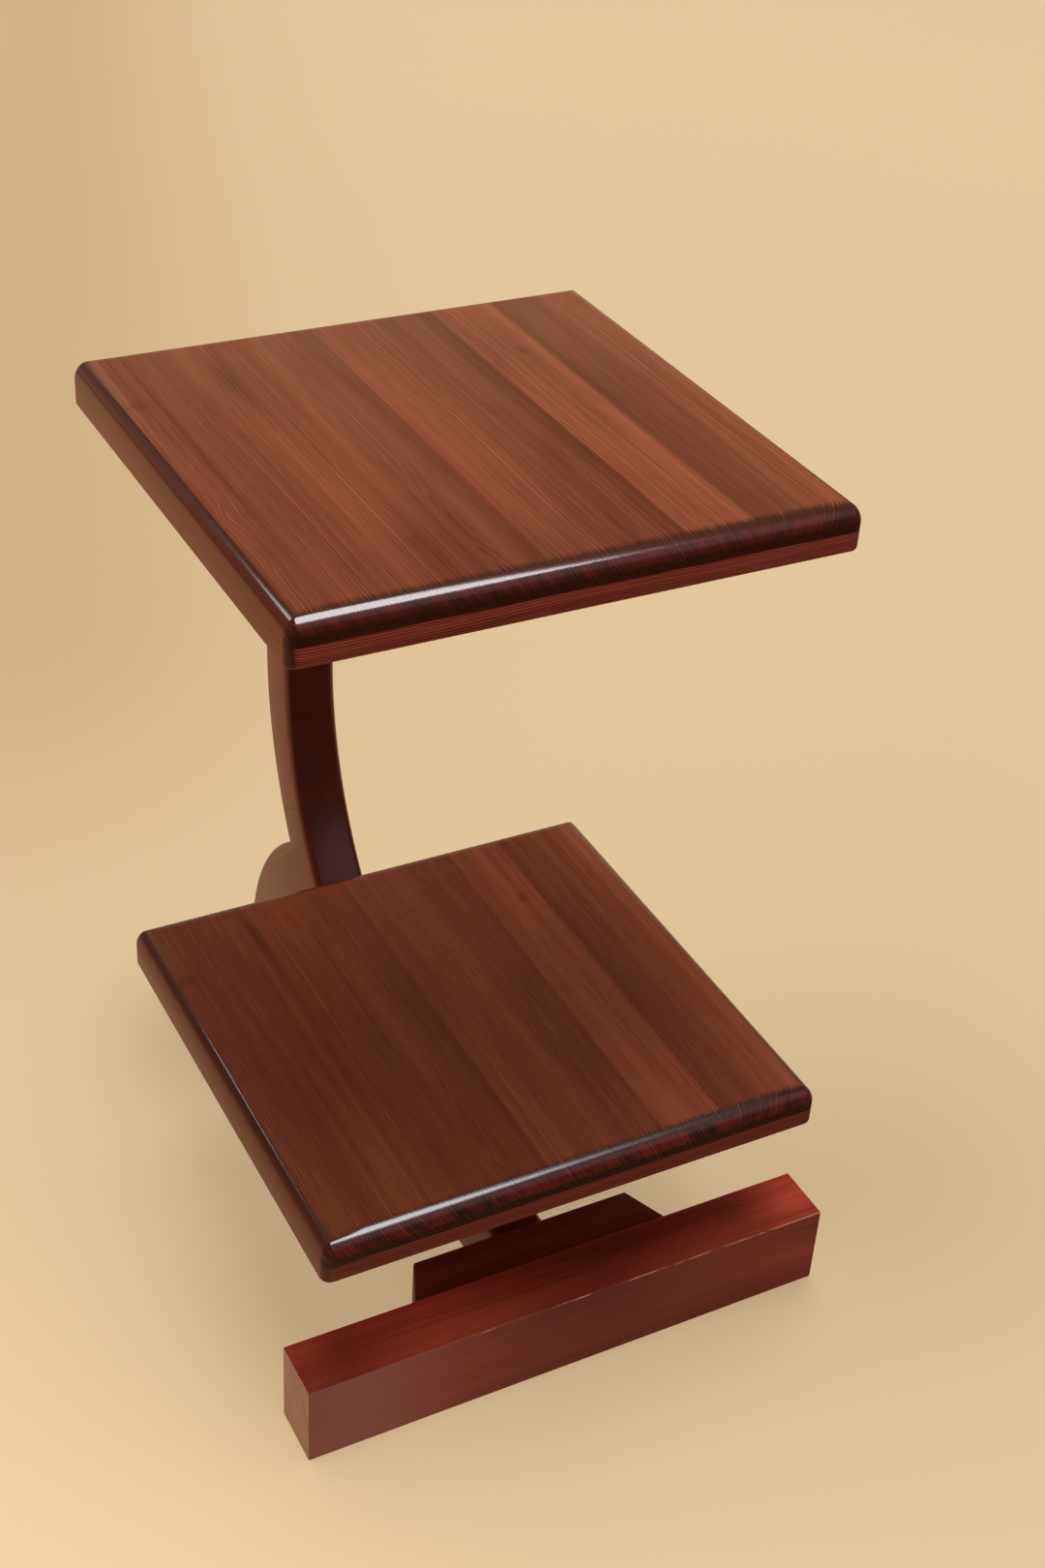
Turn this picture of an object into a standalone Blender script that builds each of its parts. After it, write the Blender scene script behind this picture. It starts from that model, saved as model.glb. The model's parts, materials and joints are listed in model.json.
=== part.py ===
"""Two-tier occasional table in stained, lacquered pine.

Two square tops of edge-glued staves stand one above the other. Both are carried from behind: the upper one
by a C-shaped post that ends in an arm under it, the lower one by a riser on the floor rail. The floor rail
runs from a wide bar at the front to a rounded heel at the back.

Metres, +Z up, +Y to the back. The origin is on the floor under the middle of the table.
"""
import bpy
import bmesh
from math import asin, atan2, ceil, cos, hypot, pi, radians, sin, sqrt
from mathutils import Matrix

# Upper top
TOP_WIDTH = 0.400
TOP_DEPTH = 0.392
TOP_HEIGHT = 0.649
TOP_SETBACK = 0.062
TOP_FIRST_STAVE = 0.029
TOP_STAVE_WIDTH = 0.0482

# Lower shelf
SHELF_WIDTH = 0.395
SHELF_DEPTH = 0.381
SHELF_HEIGHT = 0.194
SHELF_SETBACK = 0.010
SHELF_FIRST_STAVE = 0.0335
SHELF_STAVE_WIDTH = 0.047

# Build of both tops: a panel of staves on a mitred frame of lippings, stiffened by cleats
PANEL_THICKNESS = 0.019
LIPPING_THICKNESS = 0.015
LIPPING_WIDTH = 0.045
EDGE_ROUND = 0.0147
CORNER_ROUND = 0.008
LOWER_EDGE_ROUND = 0.0025
SMALLEST_STAVE = 0.008
CLEAT_END_GAP = 0.0025
CLEAT_WIDTH = 0.040
CLEAT_SPACING = 0.110
CLEAT_EASE = 0.0015

# Base
BASE_DEPTH = 0.5915
BAR_LENGTH = 0.4245
BAR_DEPTH = 0.047
BAR_HEIGHT = 0.070
BAR_EASE = 0.0012
BLOCK_LENGTH = 0.218
BLOCK_DEPTH = 0.043
BLOCK_HEIGHT = 0.060
BLOCK_RAKE = 0.0185
BLOCK_EASE = 0.0018
RAIL_HEIGHT = 0.055
HEEL_RADIUS = 0.2075
HEEL_DROP = 0.020
HEEL_JOINT_HEIGHT = 0.045
HEEL_SHOULDER = 0.094
HEEL_COLLAR = radians(6.0)
HEEL_TENON_SETBACK = 0.072

# Post, arm and riser, all sawn from one plank thickness
PLANK_THICKNESS = 0.044
POST_WIDTH = 0.046
POST_ROUND = 0.006
ARC_SETBACK = 0.232
ARM_DEPTH = 0.036
ARM_JOINT_ANGLE = radians(52.0)
ARM_MARGIN = 0.010
NOSE_RADIUS = 0.024
RISER_SETBACK = 0.111
RISER_LENGTH = 0.112
RISER_FRONT_FLARE = 0.015
RISER_BACK_FLARE = 0.0625

# Joints and fasteners
GLUE_LINE = 0.0003
STUB_LENGTH = 0.024
STUB_THICKNESS = 0.024
STUB_SHOULDER = 0.010
LOOSE_TENON_LENGTH = 0.050
LOOSE_TENON_WIDTH = 0.026
LOOSE_TENON_THICKNESS = 0.010
LOOSE_TENON_EASE = 0.0025
SCREW_RADIUS = 0.0025
SCREW_HEAD_RADIUS = 0.005
SCREW_HEAD_HEIGHT = 0.003
SCREW_HEAD_RIM = 0.0005
SCREW_SINK = 0.0005
SCREW_TIP = 0.005
CLEAT_SCREW_LENGTH = 0.030
CLEAT_SCREW_INSET = 0.0565
BLOCK_SCREW_LENGTH = 0.060
BLOCK_SCREW_RECESS = 0.015
BLOCK_SCREW_INSET = 0.018

# Fineness of the curves
ARC_STEP = radians(4.0)
ROUND_STEPS = 5
RIM_STEPS = 3
CORNER_STEPS = 3
EASE_STEPS = 2
SCREW_SIDES = 12
MERGE = 0.00001
NEAR_CURVE = 0.001
NEAR_JOINT = radians(0.2)
LEAN = 0.01
FLAT = radians(0.5)
SMOOTH_ANGLE = radians(30.0)
CUTTER_OVERRUN = 0.010

# Places that follow from the sizes
BASE_FRONT = -BASE_DEPTH / 2
BASE_BACK = BASE_DEPTH / 2
BLOCK_FRONT = BASE_FRONT + BAR_DEPTH + GLUE_LINE
BLOCK_BACK = BLOCK_FRONT + BLOCK_DEPTH
RAIL_FRONT = BLOCK_BACK + GLUE_LINE
TOP_UNDERSIDE = TOP_HEIGHT - PANEL_THICKNESS
SHELF_UNDERSIDE = SHELF_HEIGHT - PANEL_THICKNESS
ARM_BOTTOM = TOP_UNDERSIDE - ARM_DEPTH
INNER_RADIUS = (ARM_BOTTOM - RAIL_HEIGHT) / 2
OUTER_RADIUS = INNER_RADIUS + POST_WIDTH
POST_RADIUS = INNER_RADIUS + POST_WIDTH / 2
ARC_Y = BASE_FRONT + ARC_SETBACK
ARC_Z = RAIL_HEIGHT + INNER_RADIUS
HEEL_Y = BASE_BACK - sqrt(HEEL_RADIUS ** 2 - HEEL_DROP ** 2)
HEEL_Z = -HEEL_DROP
GLUE_ANGLE = GLUE_LINE / INNER_RADIUS
SHOULDER_Y = ARC_Y + HEEL_SHOULDER
ARM_NOSE = BASE_FRONT + TOP_SETBACK + LIPPING_WIDTH + ARM_MARGIN
RISER_FRONT = BASE_FRONT + RISER_SETBACK
RISER_BACK = RISER_FRONT + RISER_LENGTH

SIDE = (pi / 2, 0.0, pi / 2)
FRONT = (pi / 2, 0.0, 0.0)
PLAN = (0.0, 0.0, 0.0)


def start_scene():
    """Empty the scene and make one collection for the parts and one for the cutters."""
    for old in list(bpy.data.objects):
        bpy.data.objects.remove(old)
    made = []
    for name in ("two_tier_table", "table_cutters"):
        collection = bpy.data.collections.new(name)
        bpy.context.scene.collection.children.link(collection)
        made.append(collection)
    return made


PARTS, CUTTERS = start_scene()


def make_material(name, colour, roughness, metallic=0.0):
    material = bpy.data.materials.new(name)
    material.use_nodes = True
    shader = material.node_tree.nodes["Principled BSDF"]
    shader.inputs["Base Color"].default_value = (*colour, 1.0)
    shader.inputs["Roughness"].default_value = roughness
    shader.inputs["Metallic"].default_value = metallic
    material.diffuse_color = (*colour, 1.0)
    return material


TOP_WOOD = make_material("stained_top_wood", (0.235, 0.065, 0.030), 0.30)
FRAME_WOOD = make_material("stained_frame_wood", (0.110, 0.024, 0.014), 0.25)
TENON_WOOD = make_material("bare_beech", (0.560, 0.390, 0.240), 0.60)
SCREW_STEEL = make_material("zinc_plated_steel", (0.620, 0.620, 0.600), 0.35, 1.0)


def place(name, mesh, material, location=(0.0, 0.0, 0.0), turn=PLAN):
    """Make an object of a mesh. Without a material it is a cutter."""
    thing = bpy.data.objects.new(name, mesh)
    thing.location = location
    thing.rotation_euler = turn
    if material is None:
        thing.display_type = "WIRE"
        thing.hide_render = True
        CUTTERS.objects.link(thing)
        return thing
    mesh.materials.append(material)
    PARTS.objects.link(thing)
    return thing


def shade_round(mesh):
    mesh.shade_smooth()
    mesh.set_sharp_from_angle(angle=SMOOTH_ANGLE)


def cut(thing, cutter, operation="DIFFERENCE"):
    boolean = thing.modifiers.new(operation.lower() + "_" + cutter.name, "BOOLEAN")
    boolean.operation = operation
    boolean.solver = "EXACT"
    boolean.object = cutter


def arc(centre, radius, start, end, include_start=True):
    """Points on a circle from one angle to another, no further apart than the arc step."""
    steps = max(2, ceil(abs(end - start) / ARC_STEP))
    first = 0 if include_start else 1
    points = []
    for i in range(first, steps + 1):
        angle = start + (end - start) * i / steps
        points.append((centre[0] + radius * cos(angle), centre[1] + radius * sin(angle)))
    return points


def quarter(centre, radius, start):
    """A small quarter round, anticlockwise from the start angle."""
    points = []
    for i in range(ROUND_STEPS + 1):
        angle = start + pi / 2 * i / ROUND_STEPS
        points.append((centre[0] + radius * cos(angle), centre[1] + radius * sin(angle)))
    return points


def on_circle(u, v, centre, radius):
    return abs(hypot(u - centre[0], v - centre[1]) - radius) < NEAR_CURVE


def outline_mesh(name, outline, thickness):
    """A flat board of the outline, in local XY, half its thickness on each side."""
    curve = bpy.data.curves.new(name, "CURVE")
    curve.dimensions = "2D"
    curve.fill_mode = "BOTH"
    curve.extrude = thickness / 2
    spline = curve.splines.new("POLY")
    spline.points.add(len(outline) - 1)
    for point, (u, v) in zip(spline.points, outline):
        point.co = (u, v, 0.0, 1.0)
    spline.use_cyclic_u = True
    guide = bpy.data.objects.new(name + "_outline", curve)
    bpy.context.scene.collection.objects.link(guide)
    graph = bpy.context.evaluated_depsgraph_get()
    mesh = bpy.data.meshes.new_from_object(guide.evaluated_get(graph))
    bpy.data.objects.remove(guide)
    bpy.data.curves.remove(curve)
    mesh.name = name
    work = bmesh.new()
    work.from_mesh(mesh)
    bmesh.ops.remove_doubles(work, verts=work.verts, dist=MERGE)
    bmesh.ops.dissolve_limit(work, angle_limit=FLAT, verts=work.verts, edges=work.edges)
    bmesh.ops.recalc_face_normals(work, faces=work.faces)
    work.to_mesh(mesh)
    work.free()
    return mesh


def round_rims(mesh, wanted):
    """Round the rims between a board's flat sides and its edges, where wanted(u, v) says so."""
    work = bmesh.new()
    work.from_mesh(mesh)
    rims = []
    for edge in work.edges:
        if len(edge.link_faces) != 2:
            continue
        leans = sorted(abs(face.normal.z) for face in edge.link_faces)
        middle = (edge.verts[0].co + edge.verts[1].co) / 2
        if leans[0] < LEAN and leans[1] > 1 - LEAN and wanted(middle.x, middle.y):
            rims.append(edge)
    bmesh.ops.bevel(work, geom=rims, offset=POST_ROUND, segments=RIM_STEPS, profile=0.5, affect="EDGES",
                    clamp_overlap=False)
    bmesh.ops.recalc_face_normals(work, faces=work.faces)
    work.to_mesh(mesh)
    work.free()


def box_mesh(name, size):
    mesh = bpy.data.meshes.new(name)
    work = bmesh.new()
    bmesh.ops.create_cube(work, size=1.0)
    bmesh.ops.scale(work, vec=size, verts=work.verts)
    work.to_mesh(mesh)
    work.free()
    return mesh


def ease(thing, width):
    bevel = thing.modifiers.new("eased_edges", "BEVEL")
    bevel.width = width
    bevel.segments = EASE_STEPS
    bevel.limit_method = "ANGLE"
    bevel.angle_limit = SMOOTH_ANGLE


def turned(name, profile, material, location, turn=PLAN):
    """A turned piece about its local Z. The profile is (radius, height), from its top to its foot."""
    mesh = bpy.data.meshes.new(name)
    work = bmesh.new()
    rim = [work.verts.new((radius, 0.0, height)) for radius, height in profile]
    for upper, lower in zip(rim, rim[1:]):
        work.edges.new((upper, lower))
    work.to_mesh(mesh)
    work.free()
    thing = place(name, mesh, material, location, turn)
    screw = thing.modifiers.new("turning", "SCREW")
    screw.axis = "Z"
    screw.steps = SCREW_SIDES
    screw.render_steps = SCREW_SIDES
    screw.use_merge_vertices = True
    screw.merge_threshold = MERGE
    screw.use_smooth_shade = False
    return thing


def screw_profile(length):
    return [(0.0, length), (SCREW_RADIUS, length - SCREW_TIP), (SCREW_RADIUS, SCREW_HEAD_HEIGHT),
            (SCREW_HEAD_RADIUS, SCREW_HEAD_RIM), (SCREW_HEAD_RADIUS, 0.0), (0.0, 0.0)]


def screw_hole_profile(length, recess):
    """The screw's own outline with the running clearance all round, open for its recess below the head."""
    shank = SCREW_RADIUS + GLUE_LINE
    head = SCREW_HEAD_RADIUS + GLUE_LINE
    end = length + GLUE_LINE
    return [(0.0, end), (shank, end - SCREW_TIP), (shank, SCREW_HEAD_HEIGHT + GLUE_LINE),
            (head, SCREW_HEAD_RIM + GLUE_LINE), (head, -recess), (0.0, -recess)]


def add_screw(name, length, recess, location, turn, boards):
    """A countersunk screw, with its hole in each board that it passes."""
    turned(name, screw_profile(length), SCREW_STEEL, location, turn)
    hole = turned(name + "_hole", screw_hole_profile(length, recess), None, location, turn)
    for board in boards:
        cut(board, hole)


def notch_angle():
    """The angle on the post's outer circle at which the heel's circle meets it."""
    dy = HEEL_Y - ARC_Y
    dz = HEEL_Z - ARC_Z
    apart = hypot(dy, dz)
    along = (apart ** 2 + OUTER_RADIUS ** 2 - HEEL_RADIUS ** 2) / (2 * apart)
    across = sqrt(OUTER_RADIUS ** 2 - along ** 2)
    return atan2(dz, dy) + atan2(across, along)


NOTCH_ANGLE = notch_angle()
HEEL_JOINT_ANGLE = NOTCH_ANGLE + HEEL_COLLAR
MIDDLE_ANGLE = (HEEL_JOINT_ANGLE + ARM_JOINT_ANGLE) / 2
ARC_CENTRE = (ARC_Y, ARC_Z)
HEEL_CENTRE = (HEEL_Y, HEEL_Z)
SHOULDER_ANGLE = -atan2(sqrt(INNER_RADIUS ** 2 - HEEL_SHOULDER ** 2), HEEL_SHOULDER)


class Tier:
    """One of the two tops: where it lies, and how its staves divide it."""

    def __init__(self, name, width, depth, height, setback, first_stave, stave_width):
        self.name = name
        self.width = width
        self.depth = depth
        self.height = height
        self.front = BASE_FRONT + setback
        self.back = self.front + depth
        self.middle = self.front + depth / 2
        self.underside = height - PANEL_THICKNESS
        self.bottom = self.underside - LIPPING_THICKNESS
        self.joints = self.stave_joints(first_stave, stave_width)
        self.staves = []

    def stave_joints(self, first_stave, stave_width):
        """The places of the glue lines across the panel, from the left edge to the right edge."""
        joints = [-self.width / 2]
        place_x = -self.width / 2 + first_stave
        while place_x < self.width / 2 - SMALLEST_STAVE:
            joints.append(place_x)
            place_x += stave_width
        joints.append(self.width / 2)
        return joints

    def make_panel(self):
        """The edge-glued staves, with the rounded edge that was run round the whole panel."""
        section = [(self.front, self.underside), (self.back, self.underside)]
        section += quarter((self.back - EDGE_ROUND, self.height - EDGE_ROUND), EDGE_ROUND, 0.0)
        section += quarter((self.front + EDGE_ROUND, self.height - EDGE_ROUND), EDGE_ROUND, pi / 2)
        formers = (self.side_former(), self.corner_former())
        last = len(self.joints) - 2
        for i in range(last + 1):
            left = self.joints[i] + (GLUE_LINE / 2 if i > 0 else -CUTTER_OVERRUN)
            right = self.joints[i + 1] - (GLUE_LINE / 2 if i < last else -CUTTER_OVERRUN)
            name = f"{self.name}_stave_{i + 1}"
            mesh = outline_mesh(name, section, right - left)
            shade_round(mesh)
            stave = place(name, mesh, TOP_WOOD, ((left + right) / 2, 0.0, 0.0), SIDE)
            if i in (0, last):
                for former in formers:
                    cut(stave, former, "INTERSECT")
            self.staves.append(stave)

    def side_former(self):
        """The panel's section across the staves, which gives the outer staves their rounded long edges."""
        half = self.width / 2
        shoulder = half - EDGE_ROUND
        low = self.underside - CUTTER_OVERRUN
        high = self.height + CUTTER_OVERRUN
        section = [(-half, low), (half, low)]
        section += quarter((shoulder, self.height - EDGE_ROUND), EDGE_ROUND, 0.0)
        section += [(shoulder, high), (-shoulder, high)]
        section += quarter((-shoulder, self.height - EDGE_ROUND), EDGE_ROUND, pi / 2)
        name = self.name + "_side_former"
        mesh = outline_mesh(name, section, self.depth + 2 * CUTTER_OVERRUN)
        return place(name, mesh, None, (0.0, self.middle, 0.0), FRONT)

    def corner_former(self):
        """The panel's plan with its rounded corners."""
        inner_x = self.width / 2 - CORNER_ROUND
        inner_y = self.depth / 2 - CORNER_ROUND
        plan = quarter((inner_x, inner_y), CORNER_ROUND, 0.0)
        plan += quarter((-inner_x, inner_y), CORNER_ROUND, pi / 2)
        plan += quarter((-inner_x, -inner_y), CORNER_ROUND, pi)
        plan += quarter((inner_x, -inner_y), CORNER_ROUND, 3 * pi / 2)
        name = self.name + "_corner_former"
        mesh = outline_mesh(name, plan, PANEL_THICKNESS + 2 * CUTTER_OVERRUN)
        return place(name, mesh, None, (0.0, self.middle, self.underside + PANEL_THICKNESS / 2))

    def make_lippings(self):
        """The mitred frame under the panel's edge, which makes the top look twice as thick."""
        mitre = GLUE_LINE * sqrt(2)
        sides = (("front", 0.0, self.width, self.depth, mitre), ("back", pi, self.width, self.depth, mitre),
                 ("left", -pi / 2, self.depth, self.width, 0.0), ("right", pi / 2, self.depth, self.width, 0.0))
        thickness = LIPPING_THICKNESS - GLUE_LINE
        for side, turn, length, across, shift in sides:
            name = f"{self.name}_lipping_{side}"
            outline = self.lipping_outline(length / 2, across / 2, shift)
            mesh = outline_mesh(name, outline, thickness)
            outer = -across / 2
            self.round_lower_edge(mesh, outer)
            shade_round(mesh)
            spot = (0.0, self.middle, self.bottom + thickness / 2)
            place(name, mesh, TOP_WOOD, spot, (0.0, 0.0, turn))

    @staticmethod
    def lipping_outline(half_length, half_across, shift):
        """A strip along the edge at -half_across, with mitred ends and its share of the rounded corners."""
        centre_u = half_length - CORNER_ROUND
        centre_v = -half_across + CORNER_ROUND
        lean = asin(shift / (sqrt(2) * CORNER_ROUND))
        inner_v = -half_across + LIPPING_WIDTH
        inner_u = half_length - LIPPING_WIDTH - shift
        right = []
        for i in range(CORNER_STEPS + 1):
            angle = -pi / 2 + (pi / 4 - lean) * i / CORNER_STEPS
            right.append((centre_u + CORNER_ROUND * cos(angle), centre_v + CORNER_ROUND * sin(angle)))
        left = [(-u, v) for u, v in reversed(right)]
        return left + right + [(inner_u, inner_v), (-inner_u, inner_v)]

    @staticmethod
    def round_lower_edge(mesh, outer):
        """Round the lower outside edge of a lipping."""
        work = bmesh.new()
        work.from_mesh(mesh)
        low = min(vertex.co.z for vertex in work.verts)
        near = outer + CORNER_ROUND
        rims = []
        for edge in work.edges:
            run = edge.verts[0].co - edge.verts[1].co
            outside = all(vertex.co.z < low + MERGE and vertex.co.y < near for vertex in edge.verts)
            if outside and abs(run.x) > abs(run.y):
                rims.append(edge)
        bmesh.ops.bevel(work, geom=rims, offset=LOWER_EDGE_ROUND, segments=EASE_STEPS, profile=0.5,
                        affect="EDGES", clamp_overlap=False)
        work.to_mesh(mesh)
        work.free()

    def make_cleats(self, carrier, carrier_front, carrier_back):
        """Two cleats under the panel, let into the carrier's top and screwed up into the staves."""
        centre = (carrier_front + carrier_back) / 2
        half_length = self.width / 2 - LIPPING_WIDTH - CLEAT_END_GAP
        screw_x = half_length - CLEAT_SCREW_INSET
        size = (2 * half_length, CLEAT_WIDTH, LIPPING_THICKNESS - GLUE_LINE)
        room = (PLANK_THICKNESS + 2 * CUTTER_OVERRUN, CLEAT_WIDTH + 2 * GLUE_LINE,
                LIPPING_THICKNESS + GLUE_LINE + CUTTER_OVERRUN)
        for side, y in (("front", centre - CLEAT_SPACING / 2), ("back", centre + CLEAT_SPACING / 2)):
            name = f"{self.name}_cleat_{side}"
            cleat = place(name, box_mesh(name, size), FRAME_WOOD, (0.0, y, self.bottom + size[2] / 2))
            ease(cleat, CLEAT_EASE)
            spot = (0.0, y, self.bottom - GLUE_LINE + room[2] / 2)
            cut(carrier, place(name + "_housing", box_mesh(name + "_housing", room), None, spot))
            for number, x in enumerate((-screw_x, screw_x), start=1):
                boards = [cleat]
                for i, stave in enumerate(self.staves):
                    if self.joints[i] - SCREW_HEAD_RADIUS < x < self.joints[i + 1] + SCREW_HEAD_RADIUS:
                        boards.append(stave)
                add_screw(f"{name}_screw_{number}", CLEAT_SCREW_LENGTH, CUTTER_OVERRUN,
                          (x, y, self.bottom + SCREW_SINK), PLAN, boards)


def make_foot_bar():
    """The wide bar across the front that keeps the table from tipping sideways."""
    bar = place("foot_bar", box_mesh("foot_bar", (BAR_LENGTH, BAR_DEPTH, BAR_HEIGHT)), FRAME_WOOD,
                (0.0, BASE_FRONT + BAR_DEPTH / 2, BAR_HEIGHT / 2))
    ease(bar, BAR_EASE)
    return bar


def make_spreader_block():
    """The raked block behind the bar that spreads the rail's load along it."""
    front = BLOCK_LENGTH / 2
    back = front - BLOCK_RAKE
    plan = [(-front, BLOCK_FRONT), (front, BLOCK_FRONT), (back, BLOCK_BACK), (-back, BLOCK_BACK)]
    block = place("spreader_block", outline_mesh("spreader_block", plan, BLOCK_HEIGHT), FRAME_WOOD,
                  (0.0, 0.0, BLOCK_HEIGHT / 2))
    ease(block, BLOCK_EASE)
    mortise = box_mesh("stub_mortise", (STUB_THICKNESS + 2 * GLUE_LINE, STUB_LENGTH + CUTTER_OVERRUN,
                                        RAIL_HEIGHT - 2 * STUB_SHOULDER + 2 * GLUE_LINE))
    mortise_y = BLOCK_BACK - STUB_LENGTH - GLUE_LINE + (STUB_LENGTH + CUTTER_OVERRUN) / 2
    cut(block, place("stub_mortise", mortise, None, (0.0, mortise_y, RAIL_HEIGHT / 2)))
    return block


def make_base_rail():
    """The floor rail, with a stub tenon in front, a step for the heel block and the foot of the heel."""
    heel_rise = asin((HEEL_JOINT_HEIGHT - HEEL_Z) / HEEL_RADIUS)
    heel_start = asin(-HEEL_Z / HEEL_RADIUS)
    stub_end = RAIL_FRONT - STUB_LENGTH
    side = [(stub_end, STUB_SHOULDER), (RAIL_FRONT, STUB_SHOULDER), (RAIL_FRONT, 0.0)]
    side += arc(HEEL_CENTRE, HEEL_RADIUS, heel_start, heel_rise)
    side += [(SHOULDER_Y, HEEL_JOINT_HEIGHT)]
    side += arc(ARC_CENTRE, INNER_RADIUS, SHOULDER_ANGLE, -pi / 2)
    side += [(RAIL_FRONT, RAIL_HEIGHT), (RAIL_FRONT, RAIL_HEIGHT - STUB_SHOULDER),
             (stub_end, RAIL_HEIGHT - STUB_SHOULDER)]
    mesh = outline_mesh("base_rail", side, PLANK_THICKNESS)

    def shows(y, z):
        if y < RAIL_FRONT + MERGE:
            return False
        flat = abs(z - RAIL_HEIGHT) < MERGE
        return flat or on_circle(y, z, ARC_CENTRE, INNER_RADIUS) or on_circle(y, z, HEEL_CENTRE, HEEL_RADIUS)

    round_rims(mesh, shows)
    shade_round(mesh)
    rail = place("base_rail", mesh, FRAME_WOOD, turn=SIDE)
    cheek = (PLANK_THICKNESS - STUB_THICKNESS) / 2
    for name, sign in (("left_cheek", -1), ("right_cheek", 1)):
        size = (cheek + CUTTER_OVERRUN, STUB_LENGTH + CUTTER_OVERRUN, RAIL_HEIGHT + 2 * CUTTER_OVERRUN)
        spot = (sign * (STUB_THICKNESS / 2 + size[0] / 2), RAIL_FRONT - size[1] / 2, RAIL_HEIGHT / 2)
        cut(rail, place(name, box_mesh(name, size), None, spot))
    return rail


def make_heel_block():
    """The block between the rail and the post: hollow in front with the C, rounded behind as the heel.

    A notch parts the heel's curve from the post's, and a short collar above it meets the post squarely.
    """
    low = HEEL_JOINT_HEIGHT + GLUE_LINE
    start = asin((low - HEEL_Z) / HEEL_RADIUS)
    notch = (ARC_Y + OUTER_RADIUS * cos(NOTCH_ANGLE), ARC_Z + OUTER_RADIUS * sin(NOTCH_ANGLE))
    end = atan2(notch[1] - HEEL_Z, notch[0] - HEEL_Y)
    front = SHOULDER_Y + GLUE_LINE
    front_angle = -atan2(sqrt(INNER_RADIUS ** 2 - (front - ARC_Y) ** 2), front - ARC_Y)
    side = [(front, low)]
    side += arc(HEEL_CENTRE, HEEL_RADIUS, start, end)
    side += arc(ARC_CENTRE, OUTER_RADIUS, NOTCH_ANGLE, HEEL_JOINT_ANGLE, include_start=False)
    side += arc(ARC_CENTRE, INNER_RADIUS, HEEL_JOINT_ANGLE, front_angle)
    mesh = outline_mesh("heel_block", side, PLANK_THICKNESS)

    def shows(y, z):
        joint = abs(z - low) < MERGE or abs(y - front) < MERGE
        radial = abs(atan2(z - ARC_Z, y - ARC_Y) - HEEL_JOINT_ANGLE) < NEAR_JOINT
        return not joint and not radial

    round_rims(mesh, shows)
    shade_round(mesh)
    return place("heel_block", mesh, FRAME_WOOD, turn=SIDE)


def make_post_segment(name, start, end):
    """A length of the C-shaped post: its rounded section swung about the C's centre."""
    mesh = bpy.data.meshes.new(name)
    work = bmesh.new()
    bmesh.ops.create_grid(work, x_segments=1, y_segments=1, size=0.5)
    bmesh.ops.scale(work, vec=(PLANK_THICKNESS, POST_WIDTH, 1.0), verts=work.verts)
    bmesh.ops.bevel(work, geom=work.verts[:], offset=POST_ROUND, segments=RIM_STEPS, profile=0.5,
                    affect="VERTICES")
    bmesh.ops.translate(work, vec=(0.0, POST_RADIUS, 0.0), verts=work.verts)
    bmesh.ops.rotate(work, cent=(0.0, 0.0, 0.0), matrix=Matrix.Rotation(start, 3, "X"), verts=work.verts)
    steps = max(2, ceil((end - start) / ARC_STEP))
    bmesh.ops.spin(work, geom=work.verts[:] + work.edges[:] + work.faces[:], cent=(0.0, 0.0, 0.0),
                   axis=(1.0, 0.0, 0.0), angle=end - start, steps=steps, use_duplicate=False)
    bmesh.ops.remove_doubles(work, verts=work.verts, dist=MERGE)
    bmesh.ops.recalc_face_normals(work, faces=work.faces)
    work.to_mesh(mesh)
    work.free()
    shade_round(mesh)
    return place(name, mesh, FRAME_WOOD, (0.0, ARC_Y, ARC_Z))


def arm_meeting():
    """Where the post's outer curve runs into the underside of the upper panel."""
    rise = TOP_UNDERSIDE - GLUE_LINE - ARC_Z
    reach = sqrt(max(OUTER_RADIUS ** 2 - rise ** 2, 0.0))
    return ARC_Y + reach, asin(min(1.0, rise / OUTER_RADIUS))


def make_top_arm():
    """The end of the C that runs forward under the upper top, with a rounded nose."""
    high = TOP_UNDERSIDE - GLUE_LINE
    start = ARM_JOINT_ANGLE + GLUE_ANGLE
    meeting_y, meeting_angle = arm_meeting()
    side = arc(ARC_CENTRE, OUTER_RADIUS, start, meeting_angle)
    if meeting_angle > pi / 2 - FLAT:
        side += [(meeting_y, high)]
    side += [(ARM_NOSE, high)]
    side += arc((ARM_NOSE + NOSE_RADIUS, ARM_BOTTOM + NOSE_RADIUS), NOSE_RADIUS, pi, 3 * pi / 2)
    side += arc(ARC_CENTRE, INNER_RADIUS, pi / 2, start)
    mesh = outline_mesh("top_arm", side, PLANK_THICKNESS)

    def shows(y, z):
        radial = abs(atan2(z - ARC_Z, y - ARC_Y) - start) < NEAR_JOINT
        return abs(z - high) > MERGE and not radial

    round_rims(mesh, shows)
    shade_round(mesh)
    return place("top_arm", mesh, FRAME_WOOD, turn=SIDE)


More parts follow.
